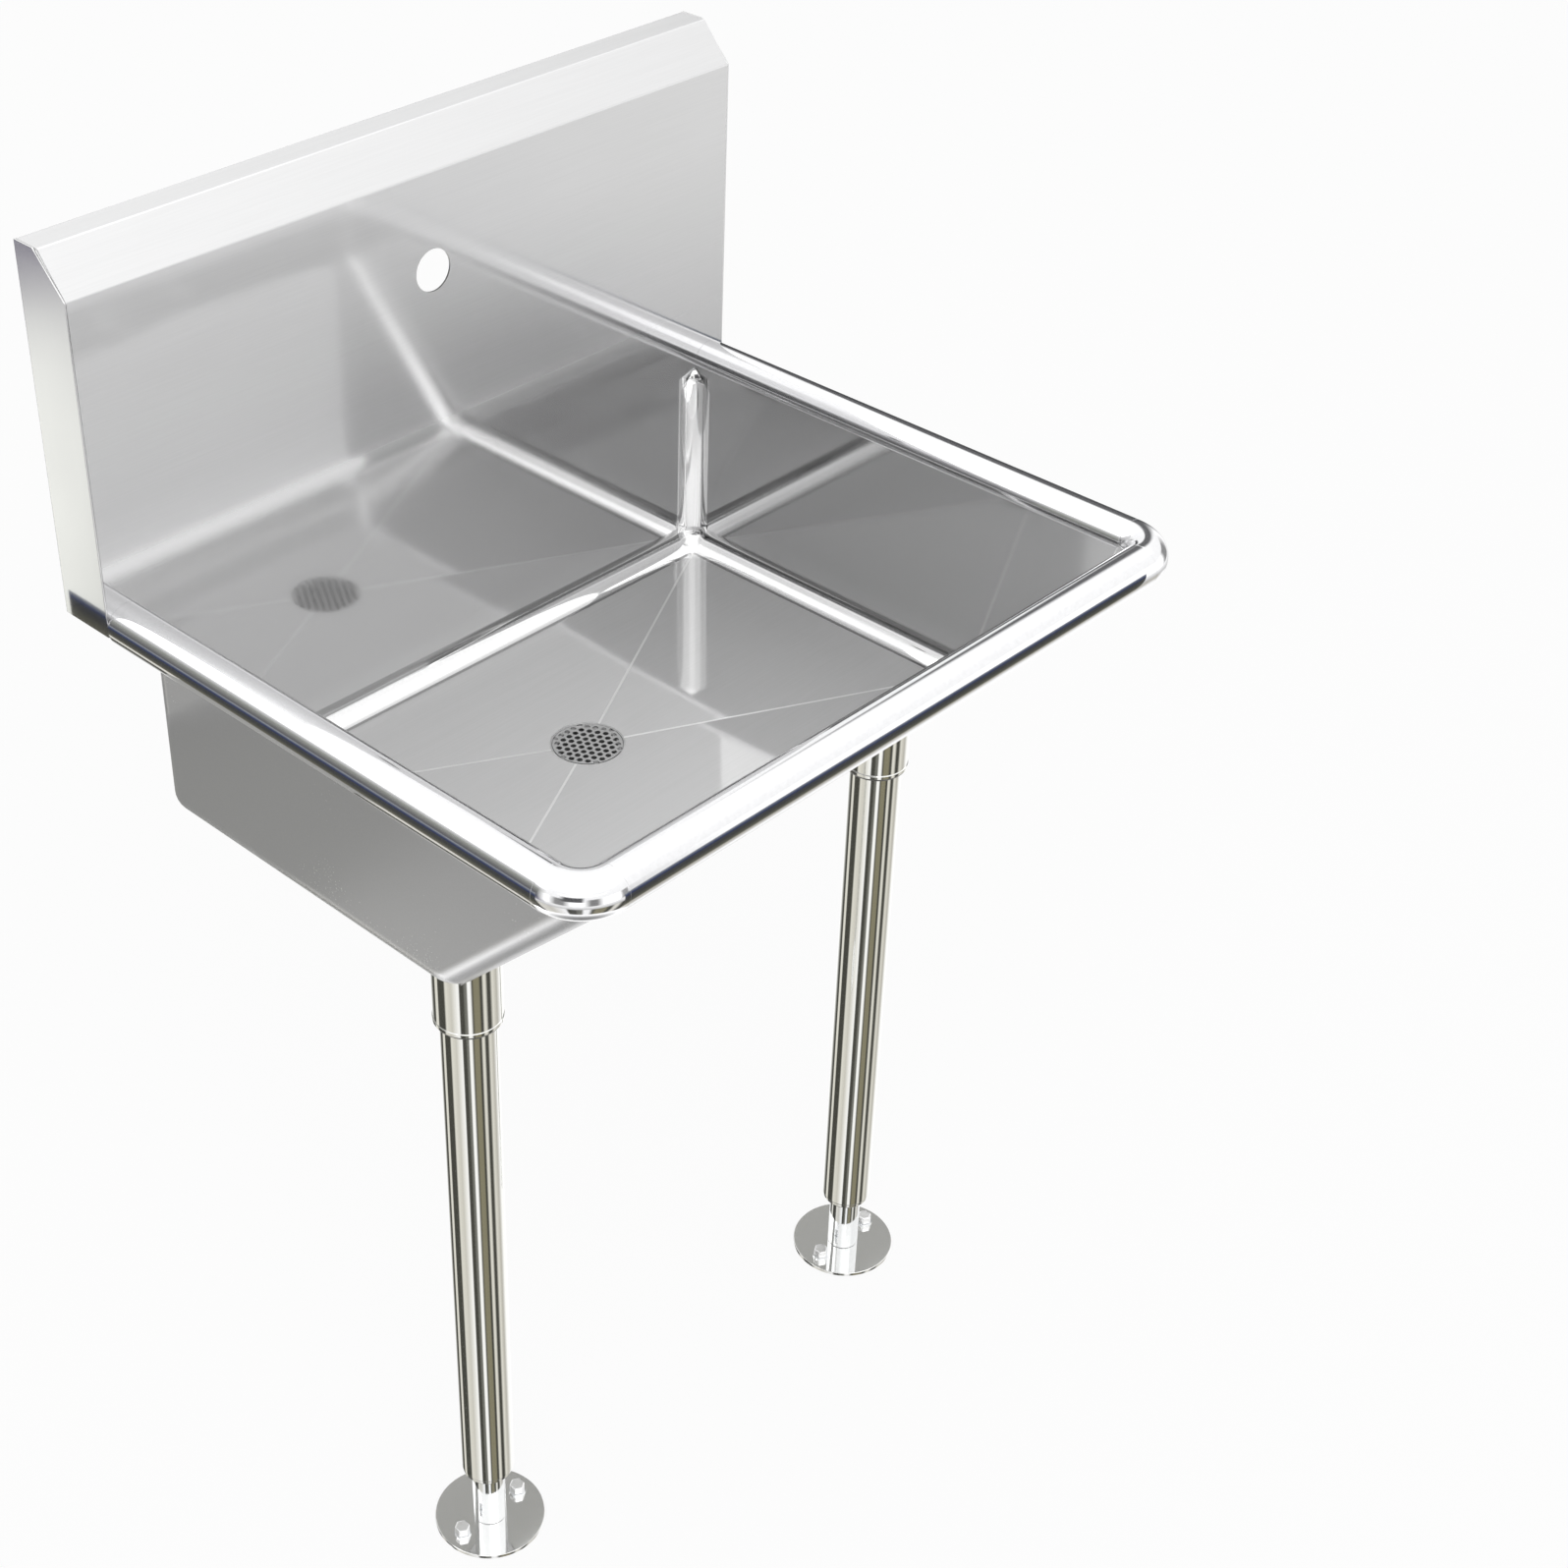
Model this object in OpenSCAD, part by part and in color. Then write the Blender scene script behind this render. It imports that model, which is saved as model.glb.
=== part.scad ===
// Wall-hung stainless steel hand sink: a coved bowl with a sloped front,
// a rolled rim, a boxed backsplash, a drain with a lift-out strainer and
// two front legs on adjustable flanged feet.
// Inside the modules the floor is z = 0, the backsplash face is y = 0 and the
// front is towards -y. The placed model has its origin on the wall, in the
// middle of the wall bracket's screw line.

/* [Overall] */
// Width over the rim and the backsplash
sink_w = 609.6; // [560:1:900]
// Depth from the wall to the front of the rim
sink_d = 508; // [480:1:700]
// Height of the rim's top above the floor
rim_h = 785; // [740:1:950]
// Thickness of the bowl's and the backsplash's sheet
sheet = 1.5; // [1:0.1:2]

/* [Backsplash] */
// Rise of the backsplash above the rim's top
splash_rise = 254; // [220:1:350]
// Depth of the backsplash box, from its face to the wall
splash_d = 49; // [44:1:80]
// Depth of the flat strip on top
splash_top = 23.7; // [16:0.1:30]
// Drop of the sloped strip between the top and the face
slope_drop = 29; // [20:1:40]
// Drop of the end caps' lower edge below the rim's top
cap_drop = 21; // [18:1:30]
// Width of the lips turned in at the wall
lip = 12; // [8:1:20]

/* [Faucet hole] */
// Diameter of the faucet hole
faucet_d = 32; // [28:0.5:38]
// Height of the faucet hole above the rim's top
faucet_rise = 152; // [100:1:180]

/* [Rim] */
// Outer diameter of the rolled rim
rim_d = 31.8; // [26:0.2:40]
// Outer radius of the rim's front corners, seen from above
rim_corner_r = 42; // [40:1:60]

/* [Bowl] */
// Depth of the bowl below the rim's top, at the walls
bowl_depth = 178; // [150:1:220]
// Radius of the coves between the walls and the floor
cove_r = 17; // [12:0.5:22]
// Height of the bowl's upright front wall, below the rim's top
front_wall = 48; // [44:1:60]
// Angle of the sloped front, up from level
front_angle = 45; // [40:1:60]
// Fall of the floor from its corners to the drain
floor_fall = 3.5; // [2:0.5:6]
// Depth below the rim's top at which the back corners' coves run out
cove_stop = 23; // [20:1:30]

/* [Drain] */
// Distance of the drain from the backsplash face
drain_back = 153; // [130:1:170]
// Diameter of the strainer plate
strainer_d = 53; // [45:1:60]
// Thickness of the strainer plate
strainer_t = 1.5; // [1:0.1:2.5]
// Distance between the strainer's holes
hole_pitch = 6.35; // [6:0.05:8]
// Diameter of the strainer's holes
hole_d = 4.4; // [3.5:0.1:5]
// Depth of the drain cup, down to its threaded outlet
cup_depth = 25; // [20:1:40]
// Length of the threaded outlet
outlet_len = 20; // [16:1:30]
// Outer diameter of the tailpiece
tail_d = 38.1; // [31:0.1:42]
// Length of the tailpiece below its nut
tail_len = 76; // [50:1:90]

/* [Wall bracket] */
// Depth of the bracket's screw line below the backsplash's sloped strip
bracket_drop = 65; // [62:1:80]
// Distance between the bracket's screw holes
screw_span = 406.4; // [300:1:420]
// Distance from a screw hole to the bracket's end
bracket_end = 31.8; // [15:0.1:60]
// Diameter of the bracket's screw holes
screw_hole_d = 8; // [6:0.5:10]
// Thickness of the bracket and of the rail that hangs on it
bracket_t = 2.5; // [2:0.1:3]

/* [Legs] */
// Distance of the leg's centre from the bowl's side wall
leg_side = 55; // [48:1:70]
// Distance of the leg's centre from the floor's front bend
leg_front = 41; // [40:1:60]
// Outer diameter of the leg tube
leg_d = 41.3; // [38:0.1:44]
// Wall of the leg tube
leg_wall = 1.6; // [1.2:0.1:2]
// Outer diameter of the leg socket
socket_d = 50.8; // [48:0.1:56]
// Length of the leg socket below its plate
socket_len = 72; // [60:1:100]
// Height of the leg tube's lower end above the floor
leg_foot_gap = 60; // [50:1:80]

/* [Feet] */
// Diameter of the foot's floor flange
flange_d = 88.9; // [80:0.1:100]
// Thickness of the floor flange
flange_t = 3.2; // [2.5:0.1:5]
// Diameter of the foot's stem
stem_d = 26.7; // [24:0.1:28]
// Length of stem held inside the leg tube
stem_in = 60; // [56:1:90]
// Length of the threaded insert in the leg tube
insert_len = 30; // [20:1:32]
// Distance between a foot's two floor bolts
bolt_span = 60.3; // [56:0.1:66]
// Shank diameter of the floor bolts
bolt_d = 6.4; // [5:0.1:8]
// Length of the floor bolts under their heads
bolt_len = 16; // [14:1:40]
// Width of a bolt head across its flats
bolt_flats = 11; // [9:0.5:13]
// Height of a bolt head
bolt_head = 7; // [4:0.5:8]
// Diameter of a washer
washer_d = 14; // [13:0.5:17]
// Thickness of a washer
washer_t = 1.4; // [1:0.1:2]

/* [Hidden] */
$fn = 96;

// Overrun of every cut past the face that it opens
cut = 1;
// Gap round a piece that slides or turns in another
run_gap = 0.06;
// Gap under a piece that only lies on its seat
seat_gap = 0.2;
// Gap behind the bracket's lip, for hooking the sink on
hook_gap = 1;
// Gap round the strainer plate in its recess
recess_gap = 0.5;

// Steel in the shades of the photograph: satin sheet, bright rolls, bright tubes
satin = [0.74, 0.74, 0.75];
bright = [0.86, 0.87, 0.88];
tube_steel = [0.66, 0.66, 0.62];
rubber_black = [0.1, 0.1, 0.1];

// Backsplash
front_d = sink_d - splash_d;
half_w = sink_w / 2;
top_z = rim_h + splash_rise;
cap_z = rim_h - cap_drop;
slope_run = splash_d - splash_top;
slope_z = top_z - slope_drop;
slope_len = sqrt(slope_run * slope_run + slope_drop * slope_drop);

// Rim and bowl
rim_r = rim_d / 2;
rim_z = rim_h - rim_r;
half_in = half_w - rim_d;
front_in = front_d - rim_d;
corner_in = rim_corner_r - rim_d;
floor_z = rim_h - bowl_depth;
knee_z = rim_h - front_wall;
bend_y = front_in - (knee_z - floor_z) / tan(front_angle);
// The coves' centres: at the floor's bend and at the front wall's knee
bend_in = bend_y - cove_r * tan(front_angle / 2);
knee_in = knee_z + cove_r * tan((90 - front_angle) / 2);
cove_x = half_in - cove_r;
post_z = rim_h - cove_stop - cove_r;
// Facets of a cove's full circle
cove_fn = 32;

// Drain: the cup stands in the floor's opening, level with the floor's lowest edge
cup_wall = 1.3;
recess_r = strainer_d / 2 + recess_gap;
cup_r = recess_r + cup_wall;
cup_z = floor_z - floor_fall + floor_fall * cup_r / cove_x;
ledge_r = strainer_d / 2 - 2.5 * sheet;
plate_z = cup_z - strainer_t;
ledge_z = plate_z - seat_gap;
tail_r = tail_d / 2;
tail_wall = 1;
thread_r = tail_r + 3 * tail_wall;
outlet_z = cup_z - cup_depth;
outlet_end = outlet_z - outlet_len;
tail_washer_t = 2.5;
tail_flange_z = outlet_end - tail_washer_t;
nut_floor = 4;
nut_z = tail_flange_z - tail_wall - nut_floor;
nut_h = 20;
nut_flats = 2 * thread_r + 10 * tail_wall;
// The tailpiece is swaged in by this much inside its nut and just below it
neck_in = 0.4;
neck_z = nut_z - 2 * tail_wall;

// Wall bracket, with the lip that the sink's rail hooks over
screw_z = slope_z - bracket_drop;
bracket_len = screw_span + 2 * bracket_end;
bracket_h = 30;
bracket_lip = 26;
bracket_gap = 8;
shelf_z = screw_z + bracket_h / 2;
lip_top = shelf_z + bracket_lip;
lip_y = splash_d - bracket_t - bracket_gap;
rail_h = 16;
hook_drop = 18;

// Legs and feet
leg_x = half_in - leg_side;
leg_y = leg_front - bend_y;
leg_r = leg_d / 2;
leg_bore = leg_r - leg_wall;
socket_r = socket_d / 2;
plate_half = socket_r + 8 * sheet;
leg_plate_t = 4.5;
plate_low = floor_z - sheet - leg_plate_t;
socket_z = plate_low - socket_len;
leg_top = plate_low - leg_wall;
set_screw_r = 4;
set_screw_z = socket_z + socket_len / 3;
stem_r = stem_d / 2;
stem_top = leg_foot_gap + stem_in;
stem_wall = 3;
spigot_r = stem_r - stem_wall;
spigot_gap = 0.3;
// The floor bolts' thread is drawn at its mean radius, from just below the flange
thread_cut = 0.25;
bolt_plain = flange_t + washer_t + seat_gap;

// Everything is drawn from the floor and the backsplash face, then set on the wall
module at_wall() translate([0, -splash_d, -screw_z]) children();
// Mirrors a left-hand piece: side is -1 for the left and 1 for the right
module on_side(side) scale([-side, 1, 1]) children();

// Backsplash

// Section of the backsplash box, in y and z
module splash_outline()
    polygon([[0, cap_z], [0, slope_z], [slope_run, top_z], [splash_d, top_z], [splash_d, cap_z]]);

// Section of the folded panel: face, slope, top and the lip at the wall
module panel_section()
    polygon([
        [0, cap_z],
        [0, slope_z],
        [slope_run, top_z],
        [splash_d, top_z],
        [splash_d, top_z - lip],
        [splash_d - sheet, top_z - lip],
        [splash_d - sheet, top_z - sheet],
        [slope_run + sheet * (slope_len - slope_run) / slope_drop, top_z - sheet],
        [sheet, slope_z - sheet * (slope_len - slope_drop) / slope_run],
        [sheet, cap_z]
    ]);

// Stands a section drawn in y and z up along the width, from x0 over a length
module along_x(x0, length) translate([x0, 0, 0]) rotate([90, 0, 90]) linear_extrude(length) children();

module back_panel() color(satin) at_wall() difference() {
    along_x(sheet - half_w, sink_w - 2 * sheet) panel_section();
    translate([0, sheet + cut, rim_h + faucet_rise])
        rotate([90, 0, 0]) cylinder(d = faucet_d, h = sheet + 2 * cut);
}

// End cap of the box, with the lip turned in at the wall
module end_cap(side) color(satin) at_wall() on_side(side) {
    along_x(-half_w, sheet) splash_outline();
    translate([-half_w, splash_d - sheet, cap_z]) cube([lip, sheet, top_z - lip - cap_z]);
}

// Rail welded behind the panel, which hooks over the bracket's lip
module hanger_rail() color(satin) at_wall() along_x(-bracket_len / 2, bracket_len)
    polygon([
        [sheet, lip_top],
        [sheet, lip_top + rail_h],
        [sheet + bracket_t, lip_top + rail_h],
        [sheet + bracket_t, lip_top + bracket_t],
        [lip_y + 2 * bracket_t + hook_gap, lip_top + bracket_t],
        [lip_y + 2 * bracket_t + hook_gap, lip_top - hook_drop],
        [lip_y + bracket_t + hook_gap, lip_top - hook_drop],
        [lip_y + bracket_t + hook_gap, lip_top]
    ]);

module wall_bracket() color(satin) at_wall() difference() {
    along_x(-bracket_len / 2, bracket_len)
        polygon([
            [splash_d, screw_z - bracket_h / 2],
            [splash_d, shelf_z],
            [lip_y + bracket_t, shelf_z],
            [lip_y + bracket_t, lip_top],
            [lip_y, lip_top],
            [lip_y, shelf_z - bracket_t],
            [splash_d - bracket_t, shelf_z - bracket_t],
            [splash_d - bracket_t, screw_z - bracket_h / 2]
        ]);
    for (side = [-1, 1])
        translate([side * screw_span / 2, splash_d + cut, screw_z])
            rotate([90, 0, 0]) cylinder(d = screw_hole_d, h = bracket_t + 2 * cut);
}

// Bowl

// Round post with a domed foot: the dome's centre is at the origin
module domed_post(r, h) rotate_extrude($fn = cove_fn) {
    intersection() {
        circle(r = r, $fn = cove_fn);
        translate([0, -r]) square(r);
    }
    square([r, h]);
}

// The bowl's rounded body, grown by the sheet for its outside, and raised past its edge by over
module tub(grow, over) hull() for (side = [-1, 1]) {
    translate([side * cove_x, -cove_r, floor_z + cove_r])
        domed_post(cove_r + grow, rim_z + over - floor_z - cove_r);
    translate([side * cove_x, -bend_in, floor_z + cove_r]) domed_post(cove_r + grow, sheet);
    translate([side * cove_x, cove_r - front_in, knee_in]) domed_post(cove_r + grow, sheet);
    translate([side * (half_in - corner_in), corner_in - front_in, rim_z - sheet])
        cylinder(r = corner_in + grow, h = sheet + over, $fn = cove_fn);
}

// Dished floor below level z: four flat panels that meet in creases and fall to the drain
module floor_dish(z) polyhedron(
    points = [
        [-cove_x, -cove_r, z + cove_r], [cove_x, -cove_r, z + cove_r],
        [cove_x, -bend_in, z + cove_r], [-cove_x, -bend_in, z + cove_r],
        [-cove_x, -cove_r, z], [cove_x, -cove_r, z], [cove_x, -bend_in, z], [-cove_x, -bend_in, z],
        [0, -drain_back, z - floor_fall]
    ],
    faces = [
        [0, 1, 2, 3], [0, 4, 5, 1], [1, 5, 6, 2], [2, 6, 7, 3], [3, 7, 4, 0],
        [5, 4, 8], [6, 5, 8], [7, 6, 8], [4, 7, 8]
    ]);

// Squares a back corner up where the cove runs out, outside by the sheet
module corner_post() translate([-half_in - sheet, -cove_r, post_z])
    cube([cove_r + sheet, cove_r + sheet, rim_z - post_z]);

// The cove's pointed end: what is cleared from a back corner above a slanted plane
module cove_point() intersection() {
    translate([-half_in, -cove_r, post_z]) cube([cove_r, cove_r, rim_z - post_z + cut]);
    translate([-half_in, 0, rim_h - cove_stop]) rotate([0, 0, -45]) rotate([0, 45, 0])
        translate([-2 * cove_r, -2 * cove_r, 0]) cube([4 * cove_r, 4 * cove_r, 4 * cove_r]);
}

module bowl() color(satin) at_wall() difference() {
    union() {
        tub(sheet, 0);
        floor_dish(floor_z - sheet);
        for (side = [-1, 1]) on_side(side) corner_post();
    }
    tub(0, cut);
    floor_dish(floor_z);
    for (side = [-1, 1]) on_side(side) cove_point();
    // The backsplash stands on the back wall from the end caps' edge up
    translate([-half_w, 0, cap_z]) cube([sink_w, sheet + cut, cap_drop]);
    translate([0, -drain_back, cup_z - cup_depth]) cylinder(r = cup_r, h = 2 * cup_depth);
}

// Rim

// Section of the roll, open below on the bowl's side, which is towards +x here
module roll_section() difference() {
    circle(r = rim_r);
    circle(r = rim_r - sheet);
    translate([0, -rim_r - cut]) square([rim_r + cut, rim_r + cut]);
}

module rim_side(side) color(bright) at_wall() on_side(side)
    translate([rim_r - half_w, 0, rim_z]) rotate([90, 0, 0])
        linear_extrude(front_d - rim_corner_r) roll_section();

module rim_front() color(bright) at_wall()
    translate([rim_corner_r - half_w, rim_r - front_d, rim_z]) rotate([90, 0, 90])
        linear_extrude(sink_w - 2 * rim_corner_r) roll_section();

// Quarter turn of the roll, whose open side faces the corner's centre
module rim_corner(side) color(bright) at_wall() on_side(side)
    translate([rim_corner_r - half_w, rim_corner_r - front_d, rim_z])
        rotate([0, 0, 180]) rotate_extrude(angle = 90)
            translate([rim_corner_r - rim_r, 0]) mirror([1, 0]) roll_section();

// Drain

// Cup with the strainer's ledge, a funnel and the threaded outlet, turned from this section
module drain_cup() color(bright) at_wall() translate([0, -drain_back, 0]) rotate_extrude()
    polygon([
        [recess_r, cup_z],
        [cup_r, cup_z],
        [cup_r, cup_z - cup_depth / 2],
        [thread_r, outlet_z],
        [thread_r, outlet_end],
        [tail_r, outlet_end],
        [tail_r, outlet_z],
        [ledge_r, cup_z - cup_depth / 3],
        [ledge_r, ledge_z],
        [recess_r, ledge_z]
    ]);

// Staggered rows of holes over the whole plate: the outermost ones notch its edge
module strainer_plate() color(bright) at_wall() translate([0, -drain_back, plate_z])
    linear_extrude(strainer_t) difference() {
        circle(d = strainer_d);
        rows = floor(strainer_d / 2 / (hole_pitch * sin(60)));
        for (row = [-rows : rows])
            for (col = [-rows : rows]) {
                x = (col + (row % 2 == 0 ? 0 : 1 / 2)) * hole_pitch;
                y = row * hole_pitch * sin(60);
                if (norm([x, y]) < (strainer_d + hole_d) / 2 - hole_d / 4)
                    translate([x, y]) circle(d = hole_d, $fn = 24);
            }
    }

module tail_washer() color(rubber_black) at_wall() translate([0, -drain_back, tail_flange_z])
    linear_extrude(tail_washer_t) difference() {
        circle(r = thread_r - tail_wall / 2);
        circle(r = tail_r - tail_wall);
    }

// Hexagon nut that draws the tailpiece's flange up against the washer
module tail_nut() color(bright) at_wall() translate([0, -drain_back, nut_z]) difference() {
    cylinder(r = nut_flats / 2 / cos(30), h = nut_h, $fn = 6);
    translate([0, 0, nut_floor]) cylinder(r = thread_r + run_gap, h = nut_h);
    translate([0, 0, -cut]) cylinder(r = tail_r + run_gap, h = nut_h);
}

module tailpiece() color(bright) at_wall() translate([0, -drain_back, 0]) difference() {
    union() {
        translate([0, 0, tail_flange_z - tail_wall]) cylinder(r = thread_r - tail_wall / 2, h = tail_wall);
        translate([0, 0, neck_z]) cylinder(r = tail_r - neck_in, h = tail_flange_z - neck_z);
        translate([0, 0, nut_z - tail_len]) cylinder(r = tail_r, h = neck_z - nut_z + tail_len);
    }
    translate([0, 0, nut_z - tail_len - cut])
        cylinder(r = tail_r - tail_wall, h = tail_flange_z - nut_z + tail_len + 2 * cut);
}

// Legs, drawn on the left

module at_leg(side, z) at_wall() on_side(side) translate([-leg_x, leg_y, z]) children();

module ring(outer_r, inner_r, h) difference() {
    cylinder(r = outer_r, h = h);
    translate([0, 0, -cut]) cylinder(r = inner_r, h = h + 2 * cut);
}

// Plate that spreads the leg's load: its top follows the dished floor
module leg_plate(side) color(satin) difference() {
    at_leg(side, plate_low) translate([-plate_half, -plate_half, 0])
        cube([2 * plate_half, 2 * plate_half, leg_plate_t]);
    at_wall() floor_dish(floor_z - sheet);
}

// Place of the socket's set screw, pointing out at the back
module at_set_screw(side) at_leg(side, set_screw_z) rotate([-90, 0, 0]) children();

module leg_socket(side) color(tube_steel) difference() {
    at_leg(side, socket_z) ring(socket_r, leg_r + run_gap, socket_len);
    at_set_screw(side) cylinder(r = set_screw_r, h = socket_r + cut);
}

// Set screw with a hexagon recess, which bears on the leg tube
module socket_screw(side) color(bright) at_set_screw(side) difference() {
    translate([0, 0, leg_r + run_gap]) cylinder(r = set_screw_r - run_gap, h = socket_r - leg_r);
    translate([0, 0, socket_r - set_screw_r / 2]) cylinder(r = set_screw_r / 2, h = set_screw_r, $fn = 6);
}

module leg_tube(side) color(tube_steel) at_leg(side, leg_foot_gap)
    ring(leg_r, leg_bore, leg_top - leg_foot_gap);

module leg_insert(side) color(tube_steel) at_leg(side, leg_foot_gap)
    ring(leg_bore - run_gap / 2, stem_r + run_gap, insert_len);

// Feet

// Screwed stem: it turns on its spigot in the flange and climbs in the leg's insert
module foot_stem(side) color(bright) at_leg(side, 0) difference() {
    union() {
        translate([0, 0, spigot_gap]) cylinder(r = spigot_r, h = flange_t);
        translate([0, 0, flange_t + seat_gap]) cylinder(r = stem_r, h = stem_top - flange_t - seat_gap);
    }
    translate([0, 0, leg_foot_gap]) cylinder(r = spigot_r, h = stem_in + cut);
}

module at_bolts(side, z) for (end = [-1, 1])
    at_leg(side, z) translate([end * bolt_span / 2, 0, 0]) children();

module foot_flange(side) color(tube_steel) difference() {
    at_leg(side, 0) cylinder(d = flange_d, h = flange_t);
    at_leg(side, -cut) cylinder(r = spigot_r + run_gap, h = flange_t + 2 * cut);
    at_bolts(side, -cut) cylinder(r = bolt_d / 2 + run_gap, h = flange_t + 2 * cut);
}

module foot_washers(side) color(bright) at_bolts(side, flange_t)
    ring(washer_d / 2, bolt_d / 2 + run_gap, washer_t);

// Hexagon bolts: the head's corners are turned down to a cone
module foot_bolts(side) color(bright) at_bolts(side, flange_t + washer_t) {
    translate([0, 0, -bolt_plain]) cylinder(d = bolt_d, h = bolt_plain + bolt_head / 2);
    translate([0, 0, -bolt_len]) cylinder(r = bolt_d / 2 - thread_cut, h = bolt_len);
    intersection() {
        cylinder(r = bolt_flats / 2 / cos(30), h = bolt_head, $fn = 6);
        cylinder(r1 = bolt_flats / 2 + bolt_head, r2 = bolt_flats / 2 - bolt_d / 8, h = bolt_head);
    }
}

back_panel();
end_cap(-1);  // end_cap_left
end_cap(1);  // end_cap_right
hanger_rail();
wall_bracket();
bowl();
rim_side(-1);  // rim_left
rim_side(1);  // rim_right
rim_front();
rim_corner(-1);  // rim_corner_left
rim_corner(1);  // rim_corner_right
drain_cup();
strainer_plate();
tail_washer();
tail_nut();
tailpiece();
leg_plate(-1);  // leg_plate_left
leg_plate(1);  // leg_plate_right
leg_socket(-1);  // leg_socket_left
leg_socket(1);  // leg_socket_right
socket_screw(-1);  // socket_screw_left
socket_screw(1);  // socket_screw_right
leg_tube(-1);  // leg_tube_left
leg_tube(1);  // leg_tube_right
leg_insert(-1);  // leg_insert_left
leg_insert(1);  // leg_insert_right
foot_stem(-1);  // foot_stem_left
foot_stem(1);  // foot_stem_right
foot_flange(-1);  // foot_flange_left
foot_flange(1);  // foot_flange_right
foot_washers(-1);  // foot_washers_left
foot_washers(1);  // foot_washers_right
foot_bolts(-1);  // foot_bolts_left
foot_bolts(1);  // foot_bolts_right
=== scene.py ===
"""Looks of a wall-hung stainless steel hand sink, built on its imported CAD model.

Drawing sizes are in millimetres and written as on a drawing: x runs across the sink, y from
the backsplash's face towards the wall, z up from the floor. The function spot turns them into
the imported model's frame, in metres.
"""
import logging
import math
from contextlib import contextmanager
from dataclasses import dataclass, field
from enum import Enum
from typing import Callable, ClassVar, Iterable, Iterator, Sequence

import bmesh
import bpy
from mathutils import Matrix, Vector


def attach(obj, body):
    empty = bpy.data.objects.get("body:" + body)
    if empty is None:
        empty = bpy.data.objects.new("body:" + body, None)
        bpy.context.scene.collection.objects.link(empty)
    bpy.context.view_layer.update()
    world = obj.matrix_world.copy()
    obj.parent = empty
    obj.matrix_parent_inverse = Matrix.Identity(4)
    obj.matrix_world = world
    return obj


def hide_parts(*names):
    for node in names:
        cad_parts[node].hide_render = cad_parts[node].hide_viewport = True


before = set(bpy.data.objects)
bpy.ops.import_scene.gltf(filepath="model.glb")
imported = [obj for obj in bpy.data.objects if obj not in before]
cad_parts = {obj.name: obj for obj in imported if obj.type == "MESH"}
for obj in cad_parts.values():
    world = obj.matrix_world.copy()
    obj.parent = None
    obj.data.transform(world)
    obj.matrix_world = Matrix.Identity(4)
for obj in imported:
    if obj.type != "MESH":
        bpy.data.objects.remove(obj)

LOG = logging.getLogger("hand_sink")
MM = 0.001
WALL_Y = 49.0
SCREW_Z = 945.0
FACETS = 96
WELD = 0.01
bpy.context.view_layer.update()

Piece = bpy.types.Object
Look = bpy.types.Material
Node = bpy.types.Node
Socket = bpy.types.NodeSocket
Test = Callable[[Vector, Vector], bool]
Colour = tuple[float, float, float]
Edges = tuple[float, float, float, float]
Stops = tuple[tuple[float, Colour], ...]
Rings = Sequence[tuple[float, float]]
Tones = tuple[tuple[float, float], ...]

CREAM: Colour = (0.86, 0.84, 0.77)
WHITE: Colour = (1.15, 1.15, 1.15)
OLIVE: Colour = (0.27, 0.25, 0.17)
DARK: Colour = (0.07, 0.07, 0.06)


def spot(x: float, y: float, z: float) -> Vector:
    """Turns a drawing point in millimetres into the frame in metres."""
    return Vector((x, y - WALL_Y, z - SCREW_Z)) * MM


def drawn(point: Vector) -> Vector:
    """Turns a point of the frame back into drawing millimetres."""
    return point / MM + Vector((0.0, WALL_Y, SCREW_Z))


def grey(tone: float) -> Colour:
    """Turns a tone into a grey."""
    return (tone, tone, tone)


class Part(Enum):
    """What a selection in edit mode is made of."""

    VERT = "VERT"
    EDGE = "EDGE"
    FACE = "FACE"


class Side(Enum):
    """The sink's two sides, by the sign of x."""

    LEFT = -1
    RIGHT = 1

    @property
    def word(self) -> str:
        """The side's name in node and piece names."""
        return self.name.lower()


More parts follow.
